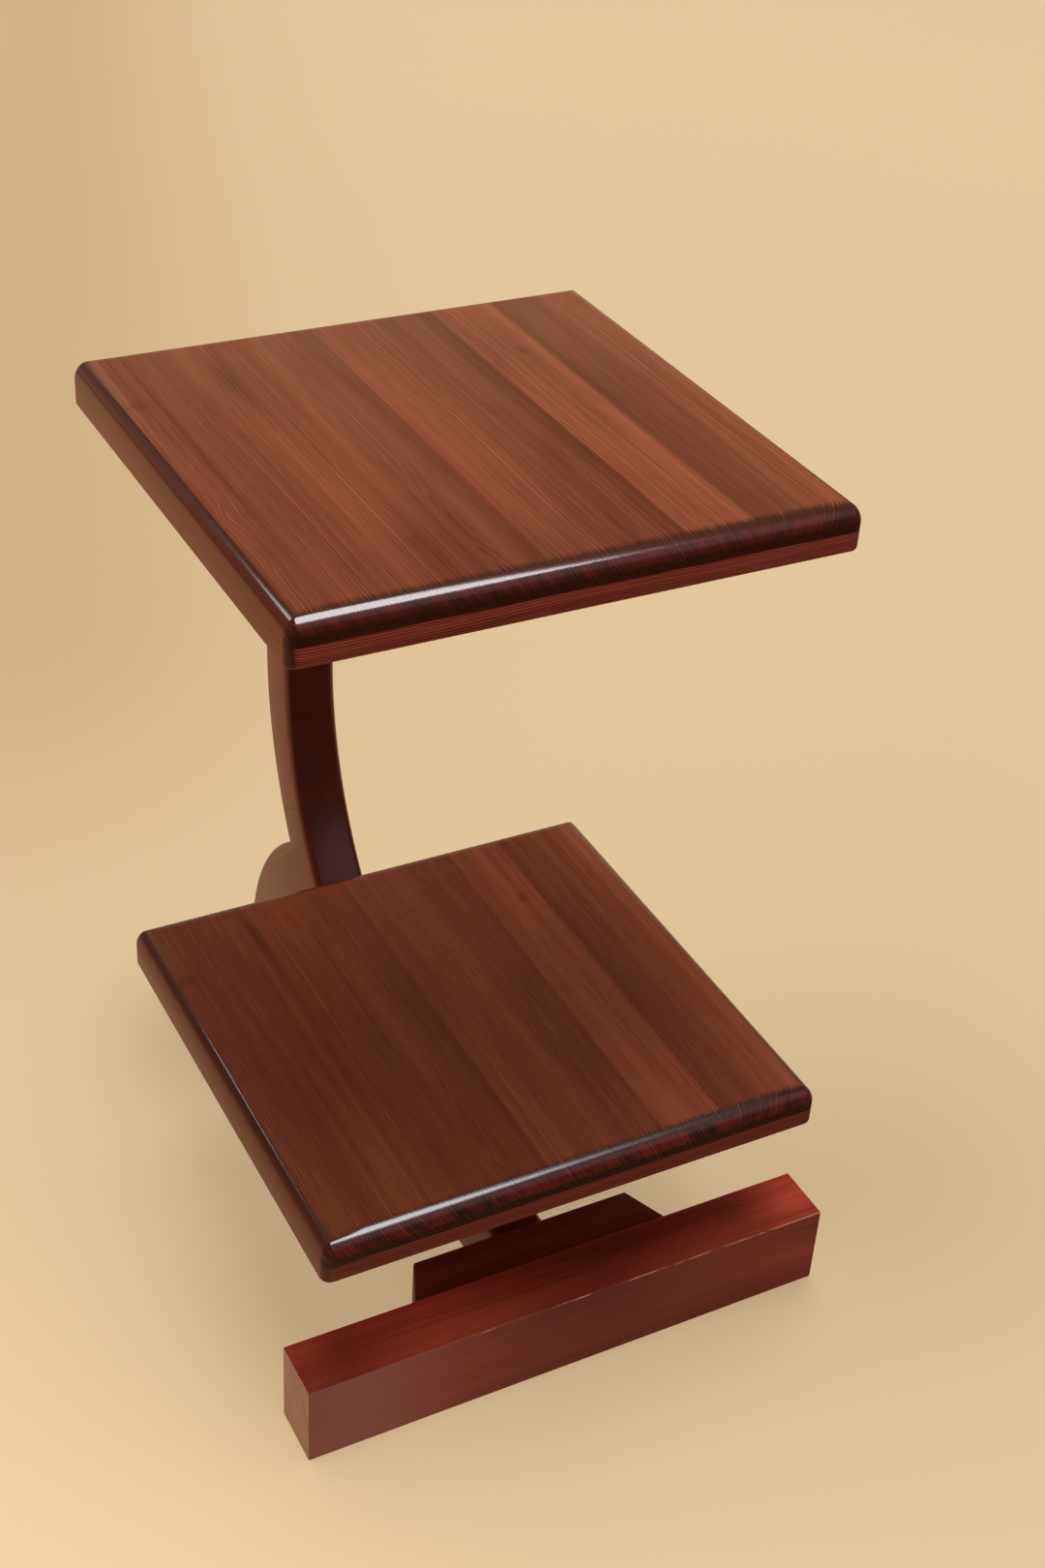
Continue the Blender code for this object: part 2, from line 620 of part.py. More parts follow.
def make_shelf_riser():
    """The upright between the floor rail and the shelf, flared at its head to carry both cleats."""
    low = RAIL_HEIGHT + GLUE_LINE
    high = SHELF_UNDERSIDE - GLUE_LINE
    brow = SHELF_UNDERSIDE - LIPPING_THICKNESS
    side = [(RISER_FRONT, low), (RISER_BACK, low)]
    back_centre = (RISER_BACK + RISER_BACK_FLARE, brow - RISER_BACK_FLARE)
    side += arc(back_centre, RISER_BACK_FLARE, pi, pi / 2)
    side += [(RISER_BACK + RISER_BACK_FLARE, high), (RISER_FRONT - RISER_FRONT_FLARE, high)]
    front_centre = (RISER_FRONT - RISER_FRONT_FLARE, brow - RISER_FRONT_FLARE)
    side += arc(front_centre, RISER_FRONT_FLARE, pi / 2, 0.0)
    mesh = outline_mesh("shelf_riser", side, PLANK_THICKNESS)
    round_rims(mesh, lambda y, z: low + MERGE < z < high - MERGE)
    shade_round(mesh)
    return place("shelf_riser", mesh, FRAME_WOOD, turn=SIDE)


def add_loose_tenon(name, location, turn, boards):
    """A beech tenon glued into a mortise in each of two boards, along its local Z."""
    size = (LOOSE_TENON_THICKNESS, LOOSE_TENON_WIDTH, LOOSE_TENON_LENGTH)
    tenon = place(name, box_mesh(name, size), TENON_WOOD, location, turn)
    ease(tenon, LOOSE_TENON_EASE)
    room = tuple(length + 2 * GLUE_LINE for length in size)
    mortise = place(name + "_mortise", box_mesh(name + "_mortise", room), None, location, turn)
    for board in boards:
        cut(board, mortise)


def on_post(angle):
    return (0.0, ARC_Y + POST_RADIUS * cos(angle), ARC_Z + POST_RADIUS * sin(angle))


def build_table():
    top = Tier("top", TOP_WIDTH, TOP_DEPTH, TOP_HEIGHT, TOP_SETBACK, TOP_FIRST_STAVE, TOP_STAVE_WIDTH)
    shelf = Tier("shelf", SHELF_WIDTH, SHELF_DEPTH, SHELF_HEIGHT, SHELF_SETBACK, SHELF_FIRST_STAVE,
                 SHELF_STAVE_WIDTH)
    for tier in (top, shelf):
        tier.make_panel()
        tier.make_lippings()

    bar = make_foot_bar()
    block = make_spreader_block()
    rail = make_base_rail()
    heel = make_heel_block()
    lower = make_post_segment("post_lower", HEEL_JOINT_ANGLE + GLUE_ANGLE, MIDDLE_ANGLE)
    upper = make_post_segment("post_upper", MIDDLE_ANGLE + GLUE_ANGLE, ARM_JOINT_ANGLE)
    arm = make_top_arm()
    riser = make_shelf_riser()

    top.make_cleats(arm, ARM_NOSE, arm_meeting()[0])
    shelf.make_cleats(riser, RISER_FRONT - RISER_FRONT_FLARE, RISER_BACK + RISER_BACK_FLARE)

    for name, angle, boards in (("post_tenon_lower", HEEL_JOINT_ANGLE, (heel, lower)),
                                ("post_tenon_middle", MIDDLE_ANGLE, (lower, upper)),
                                ("post_tenon_upper", ARM_JOINT_ANGLE, (upper, arm))):
        add_loose_tenon(name, on_post(angle), (angle, 0.0, 0.0), boards)
    heel_tenon_y = SHOULDER_Y + HEEL_TENON_SETBACK
    add_loose_tenon("heel_tenon", (0.0, heel_tenon_y, HEEL_JOINT_HEIGHT), PLAN, (rail, heel))
    add_loose_tenon("riser_tenon", (0.0, (RISER_FRONT + RISER_BACK) / 2, RAIL_HEIGHT), PLAN, (rail, riser))

    outer_screw = BLOCK_LENGTH / 2 - BLOCK_RAKE - BLOCK_SCREW_INSET
    inner_screw = PLANK_THICKNESS / 2 + BLOCK_SCREW_INSET
    for number, x in enumerate((-outer_screw, -inner_screw, inner_screw, outer_screw), start=1):
        spot = (x, BLOCK_BACK - BLOCK_SCREW_RECESS, BLOCK_HEIGHT / 2)
        add_screw(f"block_screw_{number}", BLOCK_SCREW_LENGTH, BLOCK_SCREW_RECESS + CUTTER_OVERRUN, spot,
                  (pi / 2, 0.0, 0.0), (block, bar))


build_table()
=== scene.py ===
"""Looks of the two-tier occasional table: stained pine under gloss lacquer, on a pale studio sweep.

Each board of the table is remodelled at a finer grade around the fixed frame, in place, and dressed in
a wood whose rings run through its volume, so the figure carries over every edge and on to the end grain.
"""

import json
import logging
from dataclasses import dataclass, field, replace
from enum import Enum
from math import acos, asin, atan2, cos, hypot, pi, radians, sin, sqrt
from typing import Callable, Optional, Sequence, Union

import bmesh
import bpy
from mathutils import Matrix, Vector

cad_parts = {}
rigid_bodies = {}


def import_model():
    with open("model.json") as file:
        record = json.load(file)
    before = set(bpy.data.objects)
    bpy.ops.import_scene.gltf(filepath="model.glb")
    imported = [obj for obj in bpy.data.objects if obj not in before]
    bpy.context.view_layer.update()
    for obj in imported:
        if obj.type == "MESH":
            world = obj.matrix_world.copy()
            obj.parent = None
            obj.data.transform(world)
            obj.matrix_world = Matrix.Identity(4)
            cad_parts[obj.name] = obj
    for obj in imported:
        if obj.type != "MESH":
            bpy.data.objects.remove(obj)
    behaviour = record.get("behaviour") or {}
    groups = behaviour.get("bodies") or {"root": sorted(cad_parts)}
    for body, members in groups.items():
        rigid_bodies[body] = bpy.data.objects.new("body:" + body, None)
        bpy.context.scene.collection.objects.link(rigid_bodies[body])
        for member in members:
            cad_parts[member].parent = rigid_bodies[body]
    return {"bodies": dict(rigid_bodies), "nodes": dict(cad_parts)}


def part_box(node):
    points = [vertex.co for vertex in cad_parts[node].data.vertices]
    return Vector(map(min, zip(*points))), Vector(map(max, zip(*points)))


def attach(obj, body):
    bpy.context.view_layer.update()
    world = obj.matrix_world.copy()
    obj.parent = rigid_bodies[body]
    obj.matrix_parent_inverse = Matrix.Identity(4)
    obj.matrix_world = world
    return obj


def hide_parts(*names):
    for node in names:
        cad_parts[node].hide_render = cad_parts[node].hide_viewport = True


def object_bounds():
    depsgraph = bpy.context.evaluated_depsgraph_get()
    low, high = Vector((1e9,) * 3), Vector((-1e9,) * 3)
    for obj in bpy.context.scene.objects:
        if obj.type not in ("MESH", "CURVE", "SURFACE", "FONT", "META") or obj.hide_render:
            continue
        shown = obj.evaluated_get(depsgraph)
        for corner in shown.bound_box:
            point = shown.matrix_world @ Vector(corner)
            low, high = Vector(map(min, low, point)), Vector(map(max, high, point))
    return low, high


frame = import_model()
for stray in set(bpy.data.objects) - set(frame["nodes"].values()) - set(frame["bodies"].values()):
    bpy.data.objects.remove(stray)
CAD_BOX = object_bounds()

LOG = logging.getLogger("table")
BODY = "root"

# Lengths in metres and, for directions, how near their dot product lies to 0 or to 1
MERGE = 0.00001
TOUCH = 5 * MERGE
FLAT = 0.001
GLUE_LINE = 0.0003
SMOOTH_ANGLE = radians(32.0)
SQUARE = 0.05
PARALLEL = 0.95
LEVEL = 0.99

Point = tuple[float, float, float]
Colour = tuple[float, float, float]
Number = Union[int, float]
FaceTest = Callable[[Vector, Vector], bool]
PointTest = Callable[[Vector], bool]


# Modelling

class Workpiece:
    """A mesh that is being shaped in edit mode with Blender's own modelling operators."""

    def __init__(self, name: str) -> None:
        """Take the active object, which has just been added, and open it for editing.

        Args:
            name: the name of the finished piece.
        """
        self.thing = bpy.context.object
        self.thing.name = name
        self.thing.data.name = name
        bpy.ops.object.transform_apply(location=True, rotation=True, scale=True)
        self.edit()

    @staticmethod
    def clear() -> None:
        """Leave edit mode and deselect every object."""
        if bpy.context.mode != "OBJECT":
            bpy.ops.object.mode_set(mode="OBJECT")
        bpy.ops.object.select_all(action="DESELECT")

    @classmethod
    def plane(cls, name: str, size: tuple[float, float], centre: Point,
              turn: Point = (0.0, 0.0, 0.0)) -> "Workpiece":
        """Start from a plane.

        Args:
            name: the name of the piece.
            size: its length along its own X and Y.
            centre: the place of its middle.
            turn: its rotation, as Euler angles.

        Returns:
            The open workpiece, all selected.
        """
        cls.clear()
        bpy.ops.mesh.primitive_plane_add(size=1.0, location=centre, rotation=turn)
        bpy.context.object.scale = (size[0], size[1], 1.0)
        return cls(name)

    @classmethod
    def block(cls, name: str, low: Point, high: Point) -> "Workpiece":
        """Start from a cube between two corners.

        Args:
            name: the name of the piece.
            low: its lowest corner.
            high: its highest corner.

        Returns:
            The open workpiece, all selected.
        """
        cls.clear()
        middle = [(a + b) / 2 for a, b in zip(low, high)]
        bpy.ops.mesh.primitive_cube_add(size=1.0, location=middle)
        bpy.context.object.scale = [b - a for a, b in zip(low, high)]
        return cls(name)

    @classmethod
    def outline(cls, name: str, start: Point) -> "Workpiece":
        """Start from a plane that is merged to the first point of an outline.

        Args:
            name: the name of the piece.
            start: the first point of the outline.

        Returns:
            The open workpiece, with that point selected.
        """
        work = cls.plane(name, (MERGE * 10, MERGE * 10), start)
        work.pick_all("VERT")
        bpy.ops.mesh.merge(type="CENTER")
        return work

    def select(self) -> None:
        """Make the piece the only selected object and the active one, in object mode."""
        self.clear()
        self.thing.select_set(True)
        bpy.context.view_layer.objects.active = self.thing

    def edit(self) -> None:
        """Open the piece for editing, alone."""
        self.select()
        bpy.ops.object.mode_set(mode="EDIT")

    def copy(self, name: str) -> "Workpiece":
        """A copy with its own mesh, open for editing.

        Args:
            name: the name of the copy.

        Returns:
            The open copy.
        """
        self.select()
        bpy.ops.object.duplicate(linked=False)
        return Workpiece(name)

    def discard(self) -> None:
        """Remove a piece that only served as a pattern or a cutter."""
        self.clear()
        bpy.data.objects.remove(self.thing)

    def _pick(self, mode: str, items: str, wanted: Callable[..., bool]) -> None:
        """Select the elements for which wanted is true, and nothing else.

        Args:
            mode: the select mode, VERT, EDGE or FACE.
            items: the name of the sequence in the mesh.
            wanted: the test, on the element.
        """
        bpy.ops.mesh.select_mode(type=mode)
        bpy.ops.mesh.select_all(action="DESELECT")
        mesh = bmesh.from_edit_mesh(self.thing.data)
        mesh.normal_update()
        for item in [item for item in getattr(mesh, items) if wanted(item)]:
            item.select_set(True)
        mesh.select_flush_mode()
        bmesh.update_edit_mesh(self.thing.data)

    def pick_faces(self, wanted: FaceTest) -> None:
        """Select faces by their middle and normal."""
        self._pick("FACE", "faces", lambda face: wanted(face.calc_center_median(), face.normal))

    def pick_rims(self, side: Vector, wanted: PointTest) -> None:
        """Select the edges, by their middle, where a face that looks along side meets one that does not."""
        def is_rim(edge: bmesh.types.BMEdge) -> bool:
            """Whether one face lies flat to the side and the other stands across it."""
            if len(edge.link_faces) != 2:
                return False
            leans = sorted(abs(face.normal.dot(side)) for face in edge.link_faces)
            return (leans[0] < SQUARE and leans[1] > PARALLEL
                    and wanted((edge.verts[0].co + edge.verts[1].co) / 2))
        self._pick("EDGE", "edges", is_rim)

    def pick_points(self, wanted: PointTest) -> None:
        """Select vertices by their place."""
        self._pick("VERT", "verts", lambda vert: wanted(vert.co))

    def pick_all(self, mode: str) -> None:
        """Select everything, in a select mode."""
        bpy.ops.mesh.select_mode(type=mode)
        bpy.ops.mesh.select_all(action="SELECT")

    def extrude(self, move: Point) -> None:
        """Extrude what is selected and move it."""
        bpy.ops.mesh.extrude_region_move(TRANSFORM_OT_translate={"value": move})

    def move(self, way: Vector) -> None:
        """Move the whole piece."""
        self.pick_all("VERT")
        bpy.ops.transform.translate(value=way)

    def draw_to(self, place: Point) -> None:
        """Draw the outline on, from its selected end, straight to a place."""
        mesh = bmesh.from_edit_mesh(self.thing.data)
        end = next(vert for vert in mesh.verts if vert.select)
        bpy.ops.mesh.extrude_vertices_move(TRANSFORM_OT_translate={"value": Vector(place) - end.co})

    def swing(self, centre: Point, angle: float, steps: int) -> None:
        """Spin what is selected about the X axis. The operator counts its angle the other way round.

        Args:
            centre: the middle of the arc.
            angle: the angle that the arc turns through, right-handed.
            steps: how many stretches it has.
        """
        bpy.ops.mesh.spin(steps=steps, angle=-angle, center=centre, axis=(1.0, 0.0, 0.0), dupli=False)

    def merge(self) -> None:
        """Merge the vertices that coincide."""
        self.pick_all("VERT")
        bpy.ops.mesh.remove_doubles(threshold=MERGE)

    def fill(self) -> None:
        """Close the outline and fill it with one face."""
        self.merge()
        bpy.ops.mesh.edge_face_add()

    def inset(self, width: float, rise: float = 0.0) -> None:
        """Inset the selected faces and raise them along their normal."""
        bpy.ops.mesh.inset(thickness=width, depth=rise, use_even_offset=True, use_boundary=True)

    def bevel(self, width: float, segments: int, affect: str = "EDGES") -> None:
        """Round the selected edges or vertices."""
        bpy.ops.mesh.bevel(offset=width, segments=segments, profile=0.5, affect=affect, clamp_overlap=False)

    def ease(self, width: float, segments: int) -> None:
        """Round every edge."""
        self.pick_all("EDGE")
        self.bevel(width, segments)

    def gather(self, place: Point, within: float) -> None:
        """Merge the vertices near a place into one at their middle."""
        self.pick_points(lambda point: (point - Vector(place)).length < within)
        bpy.ops.mesh.merge(type="CENTER")

    def slice(self, place: Point, outward: Point) -> None:
        """Saw off all that lies on the outward side of a plane, and close the cut.

        Args:
            place: a point on the plane.
            outward: the plane's normal, towards the waste.
        """
        bpy.ops.mesh.select_all(action="SELECT")
        bpy.ops.mesh.bisect(plane_co=place, plane_no=outward, use_fill=True, clear_outer=True)

    def cut(self, cutter: "Workpiece") -> None:
        """Cut another workpiece's shape out of this one, and discard it."""
        self.select()
        boolean = self.thing.modifiers.new("cut", "BOOLEAN")
        boolean.object = cutter.thing
        boolean.solver = "EXACT"
        bpy.ops.object.modifier_apply(modifier=boolean.name)
        cutter.discard()
        self.edit()

    def finish(self) -> bpy.types.Object:
        """Merge, turn the faces outwards, shade and close the piece.

        Returns:
            The finished object.
        """
        self.merge()
        bpy.ops.mesh.normals_make_consistent(inside=False)
        bpy.ops.object.mode_set(mode="OBJECT")
        bpy.ops.object.shade_smooth_by_angle(angle=SMOOTH_ANGLE)
        self.thing.select_set(False)
        return self.thing


# Shaders

Input = Union["Wire", Number, Sequence[Number]]


class Wire:
    """The output of a shader node, with arithmetic that adds Math nodes."""

    def __init__(self, bench: "Bench", socket: bpy.types.NodeSocket) -> None:
        """Hold an output socket.

        Args:
            bench: the material's node builder.
            socket: the output socket.
        """
        self.bench = bench
        self.socket = socket

    def _math(self, operation: str, *values: Input, clamp: bool = False) -> "Wire":
        """A Math node on the given values."""
        settings = {"operation": operation, "use_clamp": clamp}
        return self.bench.node("ShaderNodeMath", settings, dict(enumerate(values)))

    def __add__(self, other: Input) -> "Wire":
        """The sum."""
        return self._math("ADD", self, other)

    __radd__ = __add__

    def __sub__(self, other: Input) -> "Wire":
        """The difference."""
        return self._math("SUBTRACT", self, other)

    def __rsub__(self, other: Input) -> "Wire":
        """The difference, from a number."""
        return self._math("SUBTRACT", other, self)

    def __mul__(self, other: Input) -> "Wire":
        """The product."""
        return self._math("MULTIPLY", self, other)

    __rmul__ = __mul__

    def __truediv__(self, other: Input) -> "Wire":
        """The quotient."""
        return self._math("DIVIDE", self, other)

    def __neg__(self) -> "Wire":
        """The opposite."""
        return self._math("MULTIPLY", self, -1.0)

    def __pow__(self, other: Input) -> "Wire":
        """The power."""
        return self._math("POWER", self, other)

    def __abs__(self) -> "Wire":
        """The value without its sign."""
        return self._math("ABSOLUTE", self)

    def floor(self) -> "Wire":
        """The whole part."""
        return self._math("FLOOR", self)

    def part(self) -> "Wire":
        """What is left above the whole part."""
        return self._math("FRACT", self)

    def exponent(self) -> "Wire":
        """e to the power of the value."""
        return self._math("EXPONENT", self)

    def clamped(self) -> "Wire":
        """The value kept between 0 and 1."""
        return self._math("ADD", self, 0.0, clamp=True)

    def rise(self, low: Number, high: Number) -> "Wire":
        """A smooth step, from 0 at low to 1 at high."""
        return self.bench.node("ShaderNodeMapRange", {"interpolation_type": "SMOOTHSTEP"},
                               {"Value": self, "From Min": low, "From Max": high})


class Bench:
    """Builds one material's or world's node tree."""

    def __init__(self, tree: bpy.types.NodeTree) -> None:
        """Start on an empty tree.

        Args:
            tree: the node tree.
        """
        self.tree = tree
        tree.nodes.clear()

    @classmethod
    def material(cls, name: str) -> tuple[bpy.types.Material, "Bench"]:
        """A new material, and a bench for its nodes.

        Args:
            name: its name.

        Returns:
            The material and the bench.
        """
        material = bpy.data.materials.new(name)
        material.use_nodes = True
        return material, cls(material.node_tree)

    def surface(self, inputs: dict) -> None:
        """Finish a material with a Principled shader that takes these inputs."""
        shader = self.node("ShaderNodeBsdfPrincipled", None, inputs)
        self.node("ShaderNodeOutputMaterial", None, {"Surface": shader})

    def node(self, kind: str, settings: Optional[dict] = None, inputs: Optional[dict] = None,
             output: Union[int, str] = 0) -> Wire:
        """Add a node.

        Args:
            kind: the node's type.
            settings: its own settings, set before its inputs.
            inputs: values or wires for its sockets, by name or number.
            output: the socket to read.

        Returns:
            The wire of that output.
        """
        made = self.tree.nodes.new(kind)
        for key, value in (settings or {}).items():
            setattr(made, key, value)
        for key, value in (inputs or {}).items():
            socket = made.inputs[key]
            if isinstance(value, Wire):
                self.tree.links.new(value.socket, socket)
            else:
                socket.default_value = value
        return Wire(self, made.outputs[output]) if len(made.outputs) else Wire(self, None)

    def split(self, vector: Wire) -> tuple[Wire, Wire, Wire]:
        """The three parts of a vector."""
        apart = self.node("ShaderNodeSeparateXYZ", None, {"Vector": vector})
        return tuple(Wire(self, socket) for socket in apart.socket.node.outputs)

    def vector(self, operation: str, first: Input, second: Input, output: int = 0) -> Wire:
        """A Vector Math node."""
        return self.node("ShaderNodeVectorMath", {"operation": operation}, {0: first, 1: second}, output)

    def mix(self, share: Input, first: Union[Wire, Colour], second: Union[Wire, Colour],
            blend: str = "MIX") -> Wire:
        """A colour mix.

        Args:
            share: how much of the second colour shows.
            first: the colour at 0.
            second: the colour at 1.
            blend: how they are blended.

        Returns:
            The wire of the mixed colour.
        """
        def colour(value: Union[Wire, Colour]) -> Union[Wire, tuple]:
            """A wire as it is, and a plain colour with its alpha."""
            return value if isinstance(value, Wire) else (*value, 1.0)
        return self.node("ShaderNodeMix", {"data_type": "RGBA", "blend_type": blend},
                         {"Factor": share, 6: colour(first), 7: colour(second)}, 2)

    def shaded(self, colour: Wire, shade: Wire) -> Wire:
        """A colour times a value."""
        grey = self.node("ShaderNodeCombineXYZ", None, {0: shade, 1: shade, 2: shade})
        return self.mix(1.0, colour, grey, "MULTIPLY")

    def noise(self, place: Wire, scale: float, detail: float, roughness: float) -> Wire:
        """A noise between 0 and 1 at a place."""
        return self.node("ShaderNodeTexNoise", {"noise_dimensions": "3D"},
                         {"Vector": place, "Scale": scale, "Detail": detail, "Roughness": roughness})


class Grain(Enum):
    """Which way a board's grain runs, as the turn that lays it along Y."""

    DEEP = (0.0, 0.0, 0.0)
    WIDE = (0.0, 0.0, pi / 2)
    UPRIGHT = (pi / 2, 0.0, 0.0)


@dataclass(frozen=True)
class Mark:
    """A streak, knot or swirl in a stave, or a painted pool of shade, light or sheen: its place, its reach and
    what it does.
    """

    x: float
    y: float
    across: float
    along: float
    dark: float
    push: float = 0.0

    def shows(self, x: Wire, y: Wire, start: float = 0.0) -> Wire:
        """How strongly the mark shows at a place, when its Y counts from start."""
        reach = ((x - self.x) / self.across) ** 2.0 + ((y - (self.y + start)) / self.along) ** 2.0
        return (-reach).exponent()


@dataclass(frozen=True)
class Figure:
    """A noise that is stretched along the grain: its frequencies per metre, its place and its character."""

    across: float
    along: float
    shift: float
    detail: float
    roughness: float

    def draw(self, bench: Bench, place: Wire, seed: float) -> Wire:
        """The noise at a place.

        Args:
            bench: the material's node builder.
            place: the place in the board, grain along Y.
            seed: the board's own seed, which moves the noise.

        Returns:
            The noise, between 0 and 1.
        """
        scaled = bench.vector("MULTIPLY", place, (self.across, self.along, self.across))
        moved = bench.vector("ADD", scaled, (seed * 3.7 + self.shift, seed * 1.3 - self.shift, seed * 2.1))
        return bench.noise(moved, 1.0, self.detail, self.roughness)


FIBRES = Figure(1100.0, 32.0, 2.0, 2.0, 0.6)
BEND = Figure(9.0, 2.6, 0.0, 2.0, 0.45)
RIPPLE = Figure(55.0, 16.0, 5.0, 1.0, 0.4)
DRIFT = Figure(110.0, 1.5, 9.0, 2.0, 0.6)
STREAKS = Figure(160.0, 4.0, 7.0, 2.0, 0.5)
BROAD = Figure(60.0, 1.6, 12.0, 1.0, 0.5)
CLOUDS = Figure(26.0, 5.0, 3.0, 3.0, 0.55)
PATCHES = Figure(75.0, 75.0, 4.0, 3.0, 0.6)


@dataclass(frozen=True)
class PineFinish:
    """Pine under a red-brown stain and gloss lacquer.

    The growth rings are sheets that run through the whole board, so one figure covers its face, its rounded
    edge and its end. The stain soaks into the early wood and the end grain, and leaves the late wood lighter.
    """

    name: str
    seed: float
    turn: Point = Grain.DEEP.value
    level: float = 0.0
    tones: tuple[float, float, float] = (1.0, 1.0, 1.0)
    span: tuple[float, float] = (0.0, 1.0)
    spacing: float = 0.0020
    lean: float = 0.65
    waviness: float = 0.004
    early: Colour = (0.160, 0.0375, 0.0160)
    late: Colour = (0.420, 0.121, 0.0520)
    end: Colour = (0.064, 0.0160, 0.0090)
    end_top: Colour = (0.078, 0.0240, 0.0130)
    end_line: Colour = (0.160, 0.0520, 0.0300)
    end_red: Colour = (0.230, 0.026, 0.018)
    edge: Colour = (0.060, 0.0175, 0.0100)
    under: Colour = (0.130, 0.0250, 0.0115)
    side: Colour = (0.260, 0.0700, 0.0300)
    # shadow is the colour of the painted shade on faces that look forward
    shadow: Colour = (0.022, 0.0065, 0.0020)
    # The colour of a painted sheen: a lilac reflection painted on the front of a board.
    painted_sheen: Colour = (0.405, 0.170, 0.164)
    scuffed: Colour = (0.620, 0.270, 0.160)
    lines: float = 0.44
    streaks: float = 0.40
    clouds: float = 0.35
    blotches: float = 0.12
    edge_shade: float = 0.0
    painted_front_shade: float = 0.0
    marks: tuple[Mark, ...] = ()
    marks_from: float = 0.0
    painted_sheens: tuple[Mark, ...] = ()
    scuffs: float = 0.0
    end_from: float = 0.10
    end_full: float = 0.50
    roughness: float = 0.5
    coat: float = 0.65
    coat_roughness: float = 0.14
    edge_dulling: float = 0.5
    fibre_height: float = 0.0002

    def make(self) -> bpy.types.Material:
        """Build the material.

        Returns:
            The material.
        """
        material, bench = Bench.material(self.name)
        normal = bench.node("ShaderNodeTexCoord", output="Normal")
        place = self._turned(bench, bench.node("ShaderNodeTexCoord", output="Object"))
        facing = self._turned(bench, normal)
        _, depth, height = bench.split(normal)
        fall = 1.0 - abs(height)
        sheets = self._sheets(bench, place)
        line, dark = self._rings(bench, place, sheets)
        fibres = FIBRES.draw(bench, sheets, self.seed)
        colour = self._long_grain(bench, sheets, line, dark, fibres)
        colour = self._edges(bench, sheets, colour, line, abs(bench.split(facing)[1]), fall)
        colour = self._painted_light_and_wear(bench, place, facing, colour, (-depth).rise(0.35, 0.95))
        coat: Input = self.coat
        if self.edge_shade:
            coat = (1.0 - fall.rise(0.55, 0.95) * self.edge_dulling) * self.coat
        bump = bench.node("ShaderNodeBump", None, {
            "Strength": 0.5, "Distance": self.fibre_height, "Height": line * 0.8 + fibres * 0.3})
        bench.surface({
            "Base Color": colour, "Roughness": self.roughness + (fibres - 0.5) * 0.12 - line * 0.05,
            "Normal": bump, "IOR": 1.5, "Specular IOR Level": 0.0,
            "Coat Weight": coat, "Coat Roughness": self.coat_roughness, "Coat IOR": 1.5})
        return material

    def _turned(self, bench: Bench, vector: Wire) -> Wire:
        """A place or a normal, turned so that the grain runs along Y."""
        return bench.node("ShaderNodeMapping", {"vector_type": "POINT"},
                          {"Vector": vector, "Rotation": self.turn})

    def _sheets(self, bench: Bench, place: Wire) -> Wire:
        """The place in the board as a distance across the leaning ring sheets, a length and a little depth.

        Args:
            bench: the material's node builder.
            place: the place in the board, grain along Y.

        Returns:
            The place by which the figure is drawn, so that it carries straight on over an edge.
        """
        x, y, z = bench.split(place)
        bend = BEND.draw(bench, place, self.seed) - 0.5
        across = x + z * self.lean + bend * (2.0 * self.waviness)
        return bench.node("ShaderNodeCombineXYZ", None, {0: across, 1: y, 2: z * 0.12})

    def _rings(self, bench: Bench, place: Wire, sheets: Wire) -> tuple[Wire, Input]:
        """The growth rings.

        Args:
            bench: the material's node builder.
            place: the place in the board, grain along Y.
            sheets: the place across the ring sheets.

        Returns:
            How much late wood shows, and the darkness of the marks.
        """
        x, y, _ = bench.split(place)
        ripple = RIPPLE.draw(bench, sheets, self.seed) - 0.5
        across = bench.split(sheets)[0] + ripple * (0.22 * self.waviness)
        dark: Input = 0.0
        for mark in self.marks:
            spot = mark.shows(x, y, self.marks_from)
            dark = dark + spot * mark.dark
            across = across + spot * mark.push
        count = across / self.spacing + DRIFT.draw(bench, sheets, self.seed) * 4.0
        phase = count.part()
        late = phase.rise(0.30, 0.75) * (1.0 - phase.rise(0.84, 1.0))
        strength = bench.node("ShaderNodeTexWhiteNoise", {"noise_dimensions": "1D"}, {"W": count.floor()})
        return late * (strength * 0.7 + 0.3), dark

    def _long_grain(self, bench: Bench, sheets: Wire, line: Wire, dark: Input, fibres: Wire) -> Wire:
        """The stained colour of the long grain.

        Args:
            bench: the material's node builder.
            sheets: the place across the ring sheets.
            line: how much late wood shows.
            dark: the darkness of the marks.
            fibres: the fine fibres.

        Returns:
            The colour.
        """
        streaks, broad, clouds = (figure.draw(bench, sheets, self.seed) - 0.5
                                  for figure in (STREAKS, BROAD, CLOUDS))
        share = (line * self.lines + (fibres - 0.5) * 0.5 + (streaks + broad) * self.streaks
                 + clouds * self.clouds + 0.25)
        colour = bench.mix(share.clamped(), self.early, self.late)
        x = bench.split(sheets)[0] - self.level * self.lean + streaks * 0.010
        left, centre, right = self.tones
        start, end = self.span
        middle = (start + end) / 2
        tone = x.rise(start, middle) * (centre - left) + x.rise(middle, end) * (right - centre) + left
        return bench.shaded(colour, (1.0 - dark + clouds * (2.0 * self.blotches)) * tone)

